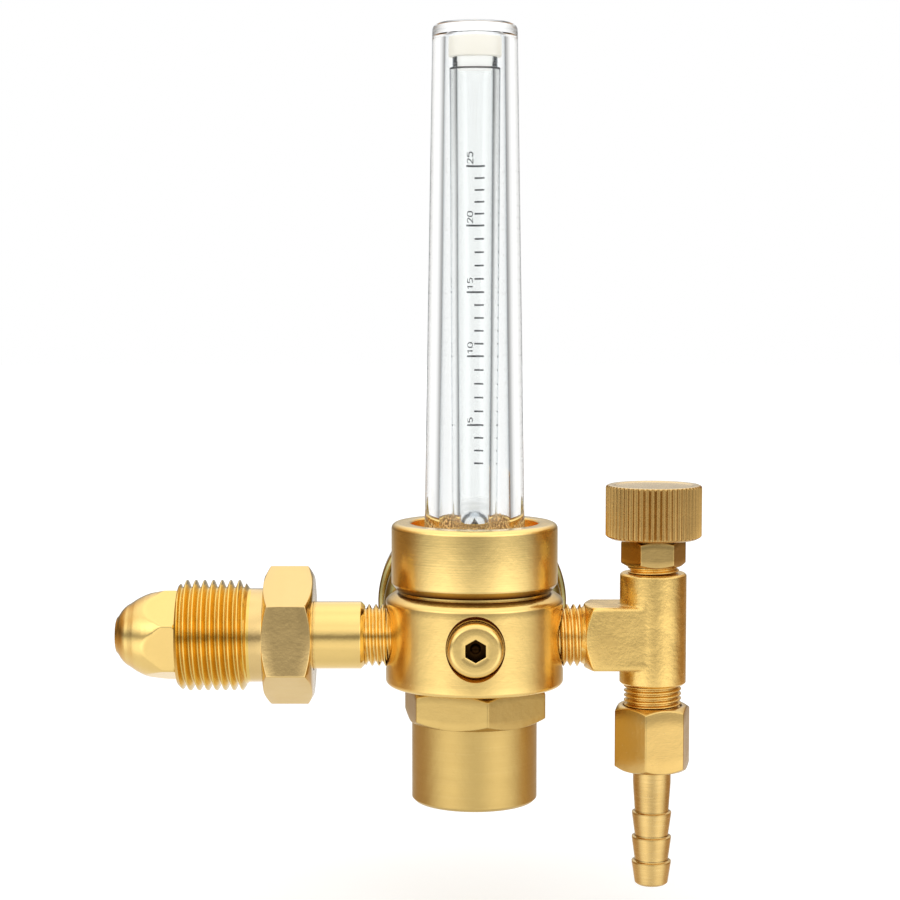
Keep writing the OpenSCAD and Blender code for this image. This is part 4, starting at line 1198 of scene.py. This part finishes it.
# (degrees from -Y to either side, light level, share of warm tint)
AZIMUTH = [(0, .72, 0), (12, .82, 0), (20, .94, 0), (30, 1.14, 0), (42, 1.32, 0), (50, 1.26, 0),
           (62, 1.12, 0), (73, .92, 0), (83, .68, .2), (93, .48, .7), (106, .36, 1),
           (120, .38, 1), (133, .42, 1), (150, .46, .5), (165, .62, .1), (180, .80, 0)]
WARM = (1.0, 0.60, 0.24)
# How far the azimuth counts: (degrees above the horizon, share)
AZIMUTH_SHARE = [(-45, 0.0), (-20, 0.75), (-10, 1.0), (20, 1.0), (42, 0.0)]
# Seen through the clear tube, from -Y at 0 to +Y at 1: white behind it, dark to the sides
THROUGH = [(0.0, 1.0), (0.32, 0.96), (0.42, 0.22), (0.50, 0.02), (0.60, 0.02), (0.68, 0.12),
           (0.77, 0.40), (0.86, 0.78), (0.93, 0.97), (1.0, 1.0)]


def mirrored_light(x, y, z):
    """What shiny surfaces reflect."""
    height = calc("ARCSINE", z) / math.pi + 0.5
    side = abs(calc("ARCTAN2", x, y * -1.0)) / math.pi
    by_height = ramp(height, [(a / 180.0 + 0.5, level / TOP) for a, level in ELEVATION])
    by_height = scaled(by_height, TOP)
    by_side = ramp(side, [(a / 180.0, tuple(level / TOP * (1 - k + k * c) for c in WARM))
                          for a, level, k in AZIMUTH])
    by_side = scaled(by_side, TOP / 0.56)
    both = mix(1.0, by_height, by_side, "MULTIPLY")
    share = ramp(height, [(a / 180.0 + 0.5, level) for a, level in AZIMUTH_SHARE])
    return mix(share, by_height, both)


def light_through(x, y, z, depth):
    """What the clear plastic shows. depth is the number of walls a ray has crossed."""
    light = ramp(calc("MAXIMUM", y, -1.0) * 0.5 + 0.5, THROUGH)
    overhead = ((z - 0.80) * 6.0).clamp()
    # The crown lets the light from above straight through
    crown = ((z - 0.35) * 4.0).clamp() * (depth < 4.5)
    light = mix(calc("MAXIMUM", overhead, crown), light, (0.97, 0.98, 1.0))
    # A dark wedge on the camera's side, for the steel ball inside the tubes to mirror
    wedge = 0.93 - z - abs(x) * 1.8
    wedge = (wedge * 6.0).clamp() * (y < -0.15)
    wedge = wedge * (depth > 4.5)
    return scaled(mix(wedge, light, (0.01, 0.01, 0.01)), 1.18)


def build_world():
    white = (1.0, 1.0, 1.0)
    world = bpy.data.worlds.new("studio")
    scene.world = world
    world.use_nodes = True
    tree = world.node_tree
    tree.nodes.clear()
    x, y, z = split(node("TexCoord", tree=tree, output="Generated"))
    ray = node("LightPath", tree=tree)
    through = light_through(x, y, z, ray.out("Transmission Depth"))
    colour = mix(ray.out("Is Glossy Ray"), (0.95, 0.95, 0.95), mirrored_light(x, y, z))
    colour = mix(ray.out("Is Transmission Ray"), colour, through)
    colour = mix(ray.out("Diffuse Depth") > 0.5, colour, white)
    colour = mix(ray.out("Is Camera Ray"), colour, white)
    node("OutputWorld", {0: node("Background", {"Color": colour, "Strength": 1.0})})


def build_floor():
    cells = 24
    size, z = 3.0, -0.0600  # half width and height, in metres
    line = [-size + 2 * size * i / cells for i in range(cells + 1)]
    verts = [(x, y, z) for y in line for x in line]
    row = cells + 1
    faces = [[j * row + i, j * row + i + 1, (j + 1) * row + i + 1, (j + 1) * row + i]
             for j in range(cells) for i in range(cells)]
    floor = make("studio_floor", verts, faces, tidy=False)
    tree = new_tree("floor_paper")
    mottle = noise(object_place(tree), scale=40.0, detail=3.0)
    paper = node("BsdfDiffuse", {"Color": mix(mottle, (0.93, 0.93, 0.93), (0.94, 0.94, 0.94))})
    glow = node("Emission", {"Color": (1, 1, 1), "Strength": 0.24}, tree=tree)
    node("OutputMaterial", {0: node("AddShader", {0: paper, 1: glow})})
    floor.data.materials.append(MATERIALS["floor_paper"])
    floor.visible_glossy = False
    floor.visible_transmission = False


def build_camera():
    tilt_down = 4.44
    camera = bpy.data.objects.new("camera", bpy.data.cameras.new("camera"))
    scene.collection.objects.link(camera)
    camera.location = (0.04903, -0.4456, 0.0732)
    camera.rotation_euler = (math.radians(90 - tilt_down), 0, 0)
    camera.data.lens, camera.data.sensor_width = 86.5, 36.0
    camera.data.clip_start, camera.data.clip_end = 0.01, 20.0
    scene.camera = camera


build_world()
build_floor()
build_camera()

scene.view_settings.view_transform = "Standard"
scene.view_settings.look = "None"
# Enough bounces for the nested clear tubes
scene.cycles.max_bounces = 20
scene.cycles.transmission_bounces = 20
scene.cycles.glossy_bounces = 16
scene.cycles.diffuse_bounces = 3
scene.cycles.caustics_reflective = True
scene.cycles.caustics_refractive = True
